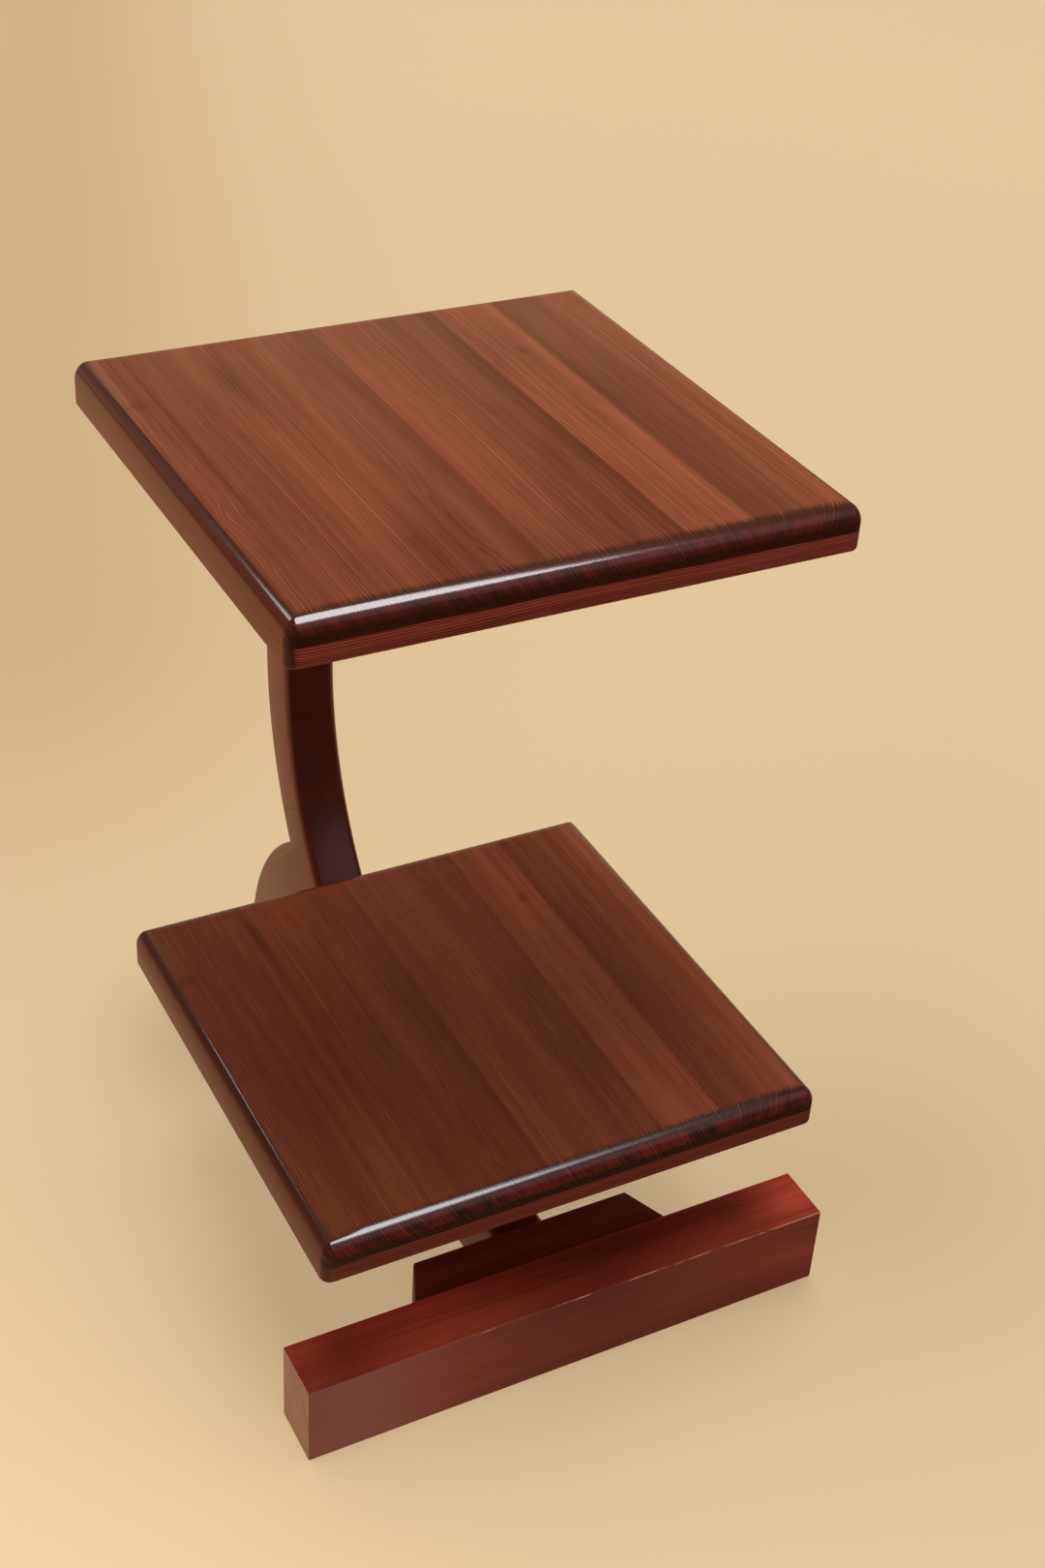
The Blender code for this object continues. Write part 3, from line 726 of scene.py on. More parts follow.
    def _edges(self, bench: Bench, sheets: Wire, colour: Wire, line: Wire, ending: Wire, fall: Wire) -> Wire:
        """Darken the end grain and, on the tops, the rounded edge.

        Args:
            bench: the material's node builder.
            sheets: the place across the ring sheets.
            colour: the colour of the long grain.
            line: how much late wood shows.
            ending: how squarely the surface cuts the grain.
            fall: how far the surface turns from level.

        Returns:
            The colour.
        """
        if self.edge_shade:
            rounding = (fall + (0.35 - line) * 0.04).rise(0.015, 0.11)
            lower = bench.mix(fall.rise(0.20, 0.50), self.edge, self.under)
            lower = bench.mix(fall.rise(0.55, 0.90), lower, self.side)
            colour = bench.mix(rounding * self.edge_shade, colour, lower)
        patches = PATCHES.draw(bench, sheets, self.seed)
        low = fall.rise(0.16, 0.34) * (1.0 - fall.rise(0.70, 0.92))
        red = low * patches.rise(0.34, 0.60) * (line * 1.2 + 0.35)
        end = bench.mix(fall.rise(0.10, 0.32), self.end_top, self.end)
        end = bench.mix((line * (0.8 - fall * 0.45)).clamped(), end, self.end_line)
        end = bench.mix(red.clamped(), end, self.end_red)
        return bench.mix((ending + (0.30 - line) * 0.22).rise(self.end_from, self.end_full), colour, end)

    def _painted_light_and_wear(self, bench: Bench, place: Wire, facing: Wire, colour: Wire, front: Wire) -> Wire:
        """Paint shade on the faces that look forward and a painted sheen across the front, and wear the stain
        off an eased edge, in dashes, more towards one end.

        Args:
            bench: the material's node builder.
            place: the place in the board, grain along Y.
            facing: the surface's normal in the board.
            colour: the colour of the sound wood.
            front: how squarely the surface looks forward.

        Returns:
            The colour.
        """
        x, y, _ = bench.split(place)
        # Painted shade: faces that look forward are darkened towards the shadow colour.
        if self.painted_front_shade:
            colour = bench.mix(front * self.painted_front_shade, colour, self.shadow)
        # Painted reflection: a lilac sheen laid over forward-facing faces where each mark reaches.
        for painted_sheen in self.painted_sheens:
            colour = bench.mix(painted_sheen.shows(x, y) * painted_sheen.dark * front, colour, self.painted_sheen)
        if self.scuffs:
            across, _, up = bench.split(facing)
            edge = (abs(across * up) * 2.0).rise(0.50, 0.90)
            dashes = bench.noise(bench.vector("MULTIPLY", place, (300.0, 45.0, 300.0)), 1.0, 3.0, 0.7)
            worn = (dashes + y * 0.9).rise(0.55, 0.64)
            colour = bench.mix(edge * worn * self.scuffs, colour, self.scuffed)
        return colour


@dataclass(frozen=True)
class BeechFinish:
    """Bare beech, with its short dark flecks."""

    name: str = "bare_beech"
    pale: Colour = (0.64, 0.46, 0.29)
    brown: Colour = (0.46, 0.30, 0.17)
    fleck: Colour = (0.30, 0.17, 0.09)

    def make(self) -> bpy.types.Material:
        """Build the material.

        Returns:
            The material.
        """
        material, bench = Bench.material(self.name)
        place = bench.node("ShaderNodeTexCoord", output="Object")
        grain = bench.noise(bench.vector("MULTIPLY", place, (900.0, 90.0, 90.0)), 1.0, 3.0, 0.6)
        flecks = bench.noise(bench.vector("MULTIPLY", place, (1500.0, 260.0, 260.0)), 1.0, 1.0, 0.5)
        colour = bench.mix(grain, self.brown, self.pale)
        colour = bench.mix(flecks.rise(0.62, 0.72) * 0.5, colour, self.fleck)
        bump = bench.node("ShaderNodeBump", None, {"Strength": 0.3, "Distance": 0.0001, "Height": grain})
        bench.surface({"Base Color": colour, "Roughness": grain * 0.2 + 0.5, "Normal": bump})
        return material


@dataclass(frozen=True)
class ZincFinish:
    """Zinc plating, slightly blue and faintly mottled."""

    name: str = "zinc_plated_steel"
    blue: Colour = (0.50, 0.52, 0.54)
    pale: Colour = (0.74, 0.74, 0.70)

    def make(self) -> bpy.types.Material:
        """Build the material.

        Returns:
            The material.
        """
        material, bench = Bench.material(self.name)
        mottle = bench.noise(bench.node("ShaderNodeTexCoord", output="Object"), 700.0, 3.0, 0.6)
        bench.surface({"Base Color": bench.mix(mottle, self.blue, self.pale), "Metallic": 1.0,
                       "Roughness": mottle * 0.25 + 0.22})
        return material


GREYER = {"early": (0.157, 0.0400, 0.0180), "late": (0.412, 0.126, 0.0535)}
STAVE = PineFinish("stave", 0.0, edge_shade=0.9)
FRONT_SHADE = Mark(-0.035, 0.010, 0.090, 0.085, 0.22)
STAVES = (
    replace(STAVE, name="stave_1", seed=1.0, tones=(0.95, 0.95, 0.93), lean=0.60, waviness=0.006, marks=(
        Mark(-0.186, 0.300, 0.014, 0.007, 0.20, 0.001), Mark(-0.184, 0.129, 0.010, 0.016, 0.0, 0.0020),
        Mark(-0.180, 0.074, 0.009, 0.014, 0.02, -0.0018), Mark(-0.190, 0.174, 0.008, 0.018, 0.0, -0.002),
        Mark(-0.1695, 0.234, 0.0016, 0.4, 0.14))),
    replace(STAVE, name="stave_2", seed=2.0, tones=(0.82, 0.91, 1.0), lean=0.75, marks=(
        Mark(-0.1705, 0.234, 0.0030, 0.4, 0.10), Mark(-0.118, 0.345, 0.006, 0.030, 0.26),
        Mark(-0.127, 0.394, 0.006, 0.012, 0.12))),
    replace(STAVE, name="stave_3", seed=3.0, tones=(0.98, 0.99, 1.03), lean=0.70, marks=(
        FRONT_SHADE,
        Mark(-0.113, 0.325, 0.006, 0.040, 0.34), Mark(-0.076, 0.370, 0.006, 0.012, 0.20, 0.001),
        Mark(-0.110, 0.279, 0.004, 0.030, 0.10), Mark(-0.086, 0.049, 0.018, 0.045, 0.14))),
    replace(STAVE, name="stave_4", seed=4.0, tones=(1.0, 0.95, 0.82), lean=0.55, **GREYER, marks=(
        FRONT_SHADE,
        Mark(-0.060, 0.069, 0.009, 0.055, 0.12, 0.007), Mark(-0.045, 0.339, 0.015, 0.050, 0.05))),
    replace(STAVE, name="stave_5", seed=5.0, tones=(1.06, 1.02, 0.97), lean=0.65, marks=(FRONT_SHADE,)),
    replace(STAVE, name="stave_6", seed=6.0, tones=(0.95, 0.87, 0.73), lean=0.50, **GREYER,
            marks=(FRONT_SHADE,)),
    replace(STAVE, name="stave_7", seed=7.0, tones=(1.10, 1.12, 1.13), lean=0.45, lines=0.5, marks=(
        Mark(0.102, 0.292, 0.0035, 0.006, 0.25, 0.001),)),
    replace(STAVE, name="stave_8", seed=8.0, tones=(0.69, 0.84, 0.97), lean=-0.35, **GREYER),
    replace(STAVE, name="stave_9", seed=9.0, tones=(1.0, 1.10, 1.0), lean=-0.50, marks=(
        Mark(0.180, 0.374, 0.006, 0.016, 0.18, 0.001),)),
)
# The shelf's staves are the top's, with darker colours that paint the shade cast by the upper top. Each
# stave's tones are scaled by a factor that holds both its own tone and painted shade across the shelf.
SHELF_STAVES = tuple(replace(finish, lines=0.28, streaks=0.38, coat_roughness=0.19,
                             tones=tuple(tone * shade for tone in finish.tones),
                             early=(0.138, 0.0300, 0.0125), late=(0.395, 0.1060, 0.0460),
                             end=(0.030, 0.0090, 0.0060), end_top=(0.045, 0.0140, 0.0080),
                             side=(0.170, 0.0380, 0.0170))
                     for finish, shade in zip(STAVES, (0.90, 0.94, 1.04, 1.04, 1.10, 1.06, 0.97, 0.93, 1.0)))
LIPPING = PineFinish("lipping", 20.0, spacing=0.0015, lean=1.0, waviness=0.010, streaks=0.35, lines=1.1,
                     coat=0.35, early=(0.105, 0.0130, 0.0080), late=(0.640, 0.1300, 0.0800),
                     end=(0.085, 0.020, 0.011))
# A darker copy of the front lipping: painted shade under the upper top.
SHELF_LIPPING = replace(LIPPING, early=(0.060, 0.0090, 0.0060), late=(0.270, 0.0480, 0.0300))
SIDE_LIPPING = replace(LIPPING, seed=21.0, lines=0.6, early=(0.200, 0.0450, 0.0200),
                       late=(0.380, 0.1000, 0.0440))
# A darker copy of the side lipping: painted shade under the upper top.
SHELF_SIDE_LIPPING = replace(SIDE_LIPPING, early=(0.130, 0.0260, 0.0120), late=(0.260, 0.0600, 0.0270))
FRAME_PINE = PineFinish("frame", 30.0, spacing=0.0030, lines=0.20, streaks=0.5, clouds=0.5, blotches=0.25,
                        early=(0.115, 0.0150, 0.0065), late=(0.250, 0.0420, 0.0180),
                        end=(0.024, 0.0050, 0.0030), end_top=(0.024, 0.0050, 0.0030),
                        end_line=(0.060, 0.014, 0.008), end_red=(0.060, 0.008, 0.005),
                        end_from=0.8, end_full=0.95)
# The post's colours are lighter than the frame's, which paints the light on its left face; its inner face
# looks forward and is darkened with painted shade.
POST = replace(FRAME_PINE, seed=31.0, lines=0.12, clouds=0.3, streaks=0.35, coat_roughness=0.22,
               painted_front_shade=0.65, early=(0.165, 0.0240, 0.0105), late=(0.340, 0.0620, 0.0270))
HEEL = replace(POST, name="heel_pine", turn=(radians(-55.0), 0.0, 0.0), lines=0.06, streaks=0.2, clouds=0.2,
               early=(0.160, 0.0240, 0.0100), late=(0.240, 0.0420, 0.0180), end=(0.160, 0.0240, 0.0100),
               end_top=(0.160, 0.0240, 0.0100), end_line=(0.180, 0.0330, 0.0150),
               end_red=(0.160, 0.0240, 0.0100))
BLOCK = replace(FRAME_PINE, name="block_pine", seed=38.0, turn=Grain.WIDE.value, coat=0.3,
                early=(0.125, 0.0220, 0.0095), late=(0.250, 0.0560, 0.0250))
# The bar's end colours are paler than stained end grain, a painted sheen on its ends. The marks across its top
# are painted light: lighter towards the ends and darker in the middle, where the shelf is reflected. The two
# marks on its front are dark streaks in the wood, and its front also carries painted shade and a painted
# sheen.
BAR = replace(FRAME_PINE, name="bar_pine", seed=37.0, turn=Grain.WIDE.value, streaks=0.9, waviness=0.012,
              coat=0.10, coat_roughness=0.35, scuffs=0.9,
              early=(0.235, 0.0290, 0.0150), late=(0.480, 0.0720, 0.0390),
              end=(0.430, 0.2500, 0.1750), end_top=(0.430, 0.2500, 0.1750), end_line=(0.460, 0.2700, 0.1900),
              end_red=(0.430, 0.2500, 0.1750),
              marks=(Mark(0.265, -0.105, 0.028, 0.055, -0.85), Mark(0.265, 0.040, 0.035, 0.060, 0.20),
                     Mark(0.270, 0.195, 0.035, 0.028, -0.3), Mark(0.297, -0.02, 0.020, 0.10, 0.18),
                     Mark(0.297, -0.19, 0.015, 0.03, 0.30)),
              painted_front_shade=0.40, painted_sheens=(Mark(0.30, -0.180, 1.0, 0.075, 0.58), Mark(0.30, 0.0, 1.0, 0.6, 0.17)))


# The table

ACROSS = Vector((1.0, 0.0, 0.0))
UPWARD = Vector((0.0, 0.0, 1.0))
FORWARD = Vector((0.0, -1.0, 0.0))
CLEATS = tuple(f"{tier}_cleat_{end}" for tier in ("top", "shelf") for end in ("front", "back"))
CLEAT_SCREWS = tuple(f"{cleat}_screw_{number}" for cleat in CLEATS for number in (1, 2))
BLOCK_SCREWS = tuple(f"block_screw_{number}" for number in (1, 2, 3, 4))
TENONS = ("heel_tenon", "riser_tenon", "post_tenon_lower", "post_tenon_middle", "post_tenon_upper")


class Slot(Enum):
    """The record's material slots."""

    TOP = "stained_top_wood"
    FRAME = "stained_frame_wood"
    ZINC = "zinc_plated_steel"


def fit(work: Workpiece, node: str, material: bpy.types.Material) -> None:
    """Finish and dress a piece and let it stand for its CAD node.

    Args:
        work: the shaped piece.
        node: the CAD node that it stands for.
        material: its finish.
    """
    thing = work.finish()
    thing.data.materials.clear()
    thing.data.materials.append(material)
    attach(thing, BODY)
    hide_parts(node)
    corners = [vertex.co for vertex in thing.data.vertices]
    low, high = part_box(node)
    off = max(max(abs(min(corner[i] for corner in corners) - low[i]),
                  abs(max(corner[i] for corner in corners) - high[i])) for i in range(3))
    LOG.info("%s: %d faces, within %.2f mm of its frame", thing.name, len(thing.data.polygons), off * 1000)


@dataclass
class Tier:
    """One of the two tops: nine staves with a rounded edge on a mitred frame of lippings."""

    name: str
    finishes: Sequence[PineFinish]
    edge_round: float = 0.0147
    corner_round: float = 0.008
    lower_round: float = 0.0025
    lipping_width: float = 0.045
    corner_steps: int = 8
    low_steps: int = 9
    high_steps: int = 5
    staves: int = 9
    lower_steps: int = 4
    low: Vector = field(init=False)
    high: Vector = field(init=False)
    bottom: float = field(init=False)
    joints: list[float] = field(init=False)

    def __post_init__(self) -> None:
        """Read the tier's place from its staves and lippings in the frame."""
        boxes = [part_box(f"{self.name}_stave_{number + 1}") for number in range(self.staves)]
        self.low = Vector(boxes[0][0])
        self.high = Vector(boxes[-1][1])
        self.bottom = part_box(f"{self.name}_lipping_front")[0][2]
        self.joints = [(right[0][0] + left[1][0]) / 2 for left, right in zip(boxes, boxes[1:])]

    @property
    def middle(self) -> tuple[float, float]:
        """The middle of the tier, in plan."""
        return (self.low.x + self.high.x) / 2, (self.low.y + self.high.y) / 2

    def _plan(self, name: str, height: float) -> Workpiece:
        """The tier's plan with its rounded corners, as one selected face at a height."""
        size = (self.high.x - self.low.x, self.high.y - self.low.y)
        work = Workpiece.plane(name, size, (*self.middle, height))
        work.pick_all("VERT")
        work.bevel(self.corner_round, self.corner_steps, "VERTICES")
        work.pick_all("FACE")
        return work

    def _rounded_slab(self) -> Workpiece:
        """The whole panel, before it is divided into staves.

        The edge is rounded in rings, each an inset that follows the router's quarter circle. Where the inset
        has used up the corner's own radius, the corner becomes the crease that a router leaves.

        Returns:
            The open slab.
        """
        work = self._plan(self.name + "_slab", self.low.z)
        work.extrude((0.0, 0.0, self.high.z - self.low.z - self.edge_round))
        crease = acos(1 - self.corner_round / self.edge_round)
        angles = [crease * (i + 1) / self.low_steps for i in range(self.low_steps)]
        angles += [crease + (pi / 2 - crease) * (i + 1) / self.high_steps for i in range(self.high_steps)]
        gone = 0.0
        height = 0.0
        for number, angle in enumerate(angles, start=1):
            width = self.edge_round * (1 - cos(angle)) - gone
            rise = self.edge_round * sin(angle) - height
            top = self.low.z + (self.high.z - self.low.z - self.edge_round) + height
            work.pick_faces(lambda middle, normal: normal.z > LEVEL and abs(middle.z - top) < TOUCH)
            work.inset(width, rise)
            gone += width
            height += rise
            if number == self.low_steps:
                for x in (self.low.x + gone, self.high.x - gone):
                    for y in (self.low.y + gone, self.high.y - gone):
                        work.gather((x, y, top + rise), self.corner_round / 12)
        return work

    def make_staves(self) -> None:
        """Saw the slab along its glue lines."""
        slab = self._rounded_slab()
        ends = (self.low.x, *self.joints, self.high.x)
        for i in range(self.staves):
            name = f"{self.name}_stave_{i + 1}"
            work = slab.copy("wood_" + name)
            if i > 0:
                work.slice((ends[i], 0.0, 0.0), (-1.0, 0.0, 0.0))
            if i < self.staves - 1:
                work.slice((ends[i + 1], 0.0, 0.0), (1.0, 0.0, 0.0))
            finish = replace(self.finishes[i], name=f"{name}_pine", span=(ends[i], ends[i + 1]),
                             level=self.high.z, marks_from=self.low.y)
            fit(work, name, finish.make())
        slab.discard()

    def make_lippings(self, front: PineFinish, side: PineFinish) -> None:
        """The mitred frame under the panel's edge.

        Args:
            front: the finish of the front and back strips.
            side: the finish of the side strips.
        """
        slab = self._plan(self.name + "_frame", self.low.z - GLUE_LINE / 2)
        slab.extrude((0.0, 0.0, self.bottom - self.low.z + GLUE_LINE / 2))
        slab.pick_rims(UPWARD, lambda middle: middle.z < self.bottom + TOUCH)
        slab.bevel(self.lower_round, self.lower_steps)
        x, y = self.middle
        half = Vector(((self.high.x - self.low.x) / 2, (self.high.y - self.low.y) / 2))
        for name, outward in (("front", (0, -1)), ("back", (0, 1)), ("left", (-1, 0)), ("right", (1, 0))):
            work = slab.copy(f"wood_{self.name}_lipping_{name}")
            inner = (half.x if outward[0] else half.y) - self.lipping_width
            work.slice((x + outward[0] * inner, y + outward[1] * inner, 0.0), (-outward[0], -outward[1], 0.0))
            for turn in (-1, 1):
                across = (outward[1] * turn, -outward[0] * turn)
                corner = (x + (outward[0] + across[0]) * half.x, y + (outward[1] + across[1]) * half.y, 0.0)
                work.slice(corner, (across[0] - outward[0], across[1] - outward[1], 0.0))
            fit(work, f"{self.name}_lipping_{name}", (front if outward[1] else side).make())
        slab.discard()


@dataclass
class Carcass:
    """The C-shaped post with its arm, heel and rail, and the riser under the shelf."""

    plank: float = 0.044
    post_width: float = 0.046
    rim_round: float = 0.006
    rim_steps: int = 5
    rail_height: float = 0.055
    arm_bottom: float = 0.594
    arc_setback: float = 0.232
    arc_step: float = radians(1.5)
    glue_turn: float = radians(0.2)
    heel_radius: float = 0.2075
    heel_drop: float = 0.020
    heel_joint: float = 0.045
    heel_shoulder: float = 0.094
    heel_collar: float = radians(6.0)
    arm_joint: float = radians(52.0)
    nose: float = 0.024
    nose_steps: int = 12
    riser_setback: float = 0.111
    riser_length: float = 0.112
    front_flare: float = 0.015
    front_flare_steps: int = 10
    back_flare: float = 0.0625
    back_flare_steps: int = 20
    stub_thickness: float = 0.024
    stub_shoulder: float = 0.010

    def __post_init__(self) -> None:
        """Work out the centres and joints of the curves."""
        self.front = CAD_BOX[0][1]
        self.back = CAD_BOX[1][1]
        self.inner = (self.arm_bottom - self.rail_height) / 2
        self.outer = self.inner + self.post_width
        self.middle = self.inner + self.post_width / 2
        self.arc_y = self.front + self.arc_setback
        self.arc_z = self.rail_height + self.inner
        self.heel_y = self.back - sqrt(self.heel_radius ** 2 - self.heel_drop ** 2)
        self.heel_z = -self.heel_drop
        self.notch = self._notch_angle()
        self.heel_end = self.notch + self.heel_collar
        self.post_middle = (self.heel_end + self.arm_joint) / 2
        self.glue = GLUE_LINE / self.inner
        self.side = -self.plank / 2

    def _notch_angle(self) -> float:
        """The angle on the post's outer circle at which the heel's circle meets it."""
        dy = self.heel_y - self.arc_y
        dz = self.heel_z - self.arc_z
        apart = hypot(dy, dz)
        along = (apart ** 2 + self.outer ** 2 - self.heel_radius ** 2) / (2 * apart)
        across = sqrt(self.outer ** 2 - along ** 2)
        return atan2(dz, dy) + atan2(across, along)

    def on_arc(self, radius: float, angle: float) -> tuple[float, float]:
        """A point on a circle about the C's centre."""
        return self.arc_y + radius * cos(angle), self.arc_z + radius * sin(angle)

    def _turn(self, place: Vector) -> float:
        """The angle of a place about the C's centre."""
        return atan2(place.z - self.arc_z, place.y - self.arc_y)

    def _steps(self, angle: float) -> int:
        """How many stretches an arc has."""
        return max(2, round(abs(angle) / self.arc_step))

    def _along_c(self, work: Workpiece, angle: float) -> None:
        """Draw an outline, or sweep a section, on about the C's centre."""
        work.swing((self.side, self.arc_y, self.arc_z), angle, self._steps(angle))

    def _along_heel(self, work: Workpiece, angle: float) -> None:
        """Draw an outline on about the heel's centre."""
        work.swing((self.side, self.heel_y, self.heel_z), angle, self._steps(angle))

    def _board(self, work: Workpiece, rims: PointTest) -> Workpiece:
        """Thicken an outline in the YZ plane to a plank and round its rims.

        Args:
            work: the drawn outline.
            rims: which rims are rounded, by their middle.

        Returns:
            The board.
        """
        work.fill()
        work.extrude((self.plank, 0.0, 0.0))
        self._round_rims(work, rims)
        return work

    def _round_rims(self, work: Workpiece, rims: PointTest) -> None:
        """Round the rims of a plank for which the test is true."""
        work.pick_rims(ACROSS, rims)
        work.bevel(self.rim_round, self.rim_steps)

    def make_post(self, finishes: Sequence[PineFinish]) -> None:
        """The two sawn lengths of the C.

        Args:
            finishes: the finish of the lower and the upper length.
        """
        spans = (("post_lower", self.heel_end + self.glue, self.post_middle),
                 ("post_upper", self.post_middle + self.glue, self.arm_joint))
        for (name, start, end), finish in zip(spans, finishes):
            work = Workpiece.plane("wood_" + name, (self.plank, self.post_width),
                                   (0.0, *self.on_arc(self.middle, start)), (start, 0.0, 0.0))
            work.pick_all("VERT")
            work.bevel(self.rim_round, self.rim_steps, "VERTICES")
            work.pick_all("FACE")
            self._along_c(work, end - start)
            fit(work, name, finish.make())

    def make_heel(self, finish: PineFinish) -> None:
        """The block between the rail and the post, with the notch that parts the heel from the post."""
        low = self.heel_joint + GLUE_LINE
        front = self.arc_y + self.heel_shoulder + GLUE_LINE
        start = asin((low - self.heel_z) / self.heel_radius)
        notch_y, notch_z = self.on_arc(self.outer, self.notch)
        end = atan2(notch_z - self.heel_z, notch_y - self.heel_y)
        front_angle = -atan2(sqrt(self.inner ** 2 - (front - self.arc_y) ** 2), front - self.arc_y)
        work = Workpiece.outline("wood_heel_block", (self.side, front, low))
        work.draw_to((self.side, self.heel_y + self.heel_radius * cos(start), low))
        self._along_heel(work, end - start)
        self._along_c(work, self.heel_collar)
        work.draw_to((self.side, *self.on_arc(self.inner, self.heel_end)))
        self._along_c(work, front_angle - self.heel_end)

        def shows(middle: Vector) -> bool:
            """Whether a rim is on a face that shows, and not at a glue line."""
            joint = abs(middle.z - low) < FLAT or abs(middle.y - front) < FLAT / 2
            return not joint and abs(self._turn(middle) - self.heel_end) > self.glue_turn

        fit(self._board(work, shows), "heel_block", finish.make())

    def make_rail(self, finish: PineFinish) -> None:
        """The floor rail, with its stub tenon, the step for the heel block and the foot of the heel."""
        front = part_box("spreader_block")[1][1] + GLUE_LINE
        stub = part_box("base_rail")[0][1]
        shoulder = self.arc_y + self.heel_shoulder
        rise = asin((self.heel_joint - self.heel_z) / self.heel_radius)
        start = asin(-self.heel_z / self.heel_radius)
        hollow = -atan2(sqrt(self.inner ** 2 - self.heel_shoulder ** 2), self.heel_shoulder)
        work = Workpiece.outline("wood_base_rail", (self.side, front, 0.0))
        work.draw_to((self.side, self.heel_y + self.heel_radius * cos(start), 0.0))
        self._along_heel(work, rise - start)
        work.draw_to((self.side, shoulder, self.heel_joint))
        work.draw_to((self.side, *self.on_arc(self.inner, hollow)))
        self._along_c(work, -pi / 2 - hollow)
        work.draw_to((self.side, front, self.rail_height))
        work.fill()
        work.extrude((self.plank, 0.0, 0.0))
        work.pick_faces(lambda middle, normal: abs(middle.y - front) < MERGE and abs(normal.y) > PARALLEL)
        work.inset(0.0)
        bpy.ops.transform.resize(value=(self.stub_thickness / self.plank, 1.0,
                                        1.0 - 2 * self.stub_shoulder / self.rail_height))
        work.extrude((0.0, stub - front, 0.0))

        def shows(middle: Vector) -> bool:
            """Whether a rim is on the rail's top, its hollow or the heel, and not on the stub."""
            on_top = abs(middle.z - self.rail_height) < MERGE
            on_hollow = abs(hypot(middle.y - self.arc_y, middle.z - self.arc_z) - self.inner) < FLAT
            on_heel = abs(hypot(middle.y - self.heel_y, middle.z - self.heel_z) - self.heel_radius) < FLAT
            off_stub = middle.y > front + MERGE and abs(middle.x) > self.plank / 2 - MERGE
            return off_stub and (on_top or on_hollow or on_heel)

        self._round_rims(work, shows)
        fit(work, "base_rail", finish.make())

    def make_arm(self, finish: PineFinish) -> None:
        """The end of the C that runs forward under the upper top, housed for the two cleats."""
        low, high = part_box("top_arm")
        nose, top = low[1], high[2]
        start = self.arm_joint + self.glue
        meeting = asin(min(1.0, (top - self.arc_z) / self.outer))
        work = Workpiece.outline("wood_top_arm", (self.side, *self.on_arc(self.outer, start)))
        self._along_c(work, meeting - start)
        self._house(work, "top", top)
        work.draw_to((self.side, nose, top))
        work.draw_to((self.side, nose, self.arm_bottom + self.nose))
        work.swing((self.side, nose + self.nose, self.arm_bottom + self.nose), pi / 2, self.nose_steps)
        work.draw_to((self.side, self.arc_y, self.arm_bottom))
        self._along_c(work, start - pi / 2)

        def shows(middle: Vector) -> bool:
            """Whether a rim is clear of the panel, the cleats and the glue line."""
            glued = abs(self._turn(middle) - start) < self.glue_turn
            return middle.z < top - MERGE and not glued and not self._in_housing(middle)

        fit(self._board(work, shows), "top_arm", finish.make())

    def _house(self, work: Workpiece, tier: str, height: float) -> None:
        """Draw the housings of a tier's cleats in an outline that runs forward.

        Args:
            work: the outline.
            tier: the tier's name.
            height: the height of the board's top.
        """
        for end in ("back", "front"):
            low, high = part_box(f"{tier}_cleat_{end}")
            bed = low[2] - GLUE_LINE
            for y, z in ((high[1] + GLUE_LINE, height), (high[1] + GLUE_LINE, bed),
                         (low[1] - GLUE_LINE, bed), (low[1] - GLUE_LINE, height)):
                work.draw_to((self.side, y, z))

    @staticmethod
    def _in_housing(place: Vector) -> bool:
        """Whether a point lies on a cleat's housing."""
        margin = 2 * GLUE_LINE
        boxes = (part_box(cleat) for cleat in CLEATS)
        return any(all(low[i] - margin < place[i] < high[i] + margin for i in (1, 2)) for low, high in boxes)

    def make_riser(self, finish: PineFinish) -> None:
        """The upright between the rail and the shelf, flared at its head and housed for the two cleats."""
        low = self.rail_height + GLUE_LINE
        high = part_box("shelf_riser")[1][2]
        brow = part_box("shelf_lipping_front")[0][2]
        front = self.front + self.riser_setback
        back = front + self.riser_length
        work = Workpiece.outline("wood_shelf_riser", (self.side, front, low))
        work.draw_to((self.side, back, low))
        flare = self.back_flare
        work.draw_to((self.side, back, brow - flare))
        work.swing((self.side, back + flare, brow - flare), -pi / 2, self.back_flare_steps)
        work.draw_to((self.side, back + flare, high))
        self._house(work, "shelf", high)
        flare = self.front_flare
        work.draw_to((self.side, front - flare, high))
        work.draw_to((self.side, front - flare, brow))
        work.swing((self.side, front - flare, brow - flare), -pi / 2, self.front_flare_steps)

        def shows(middle: Vector) -> bool:
            """Whether a rim is between the rail and the shelf."""
            return low + MERGE < middle.z < high - MERGE and not self._in_housing(middle)

        fit(self._board(work, shows), "shelf_riser", finish.make())


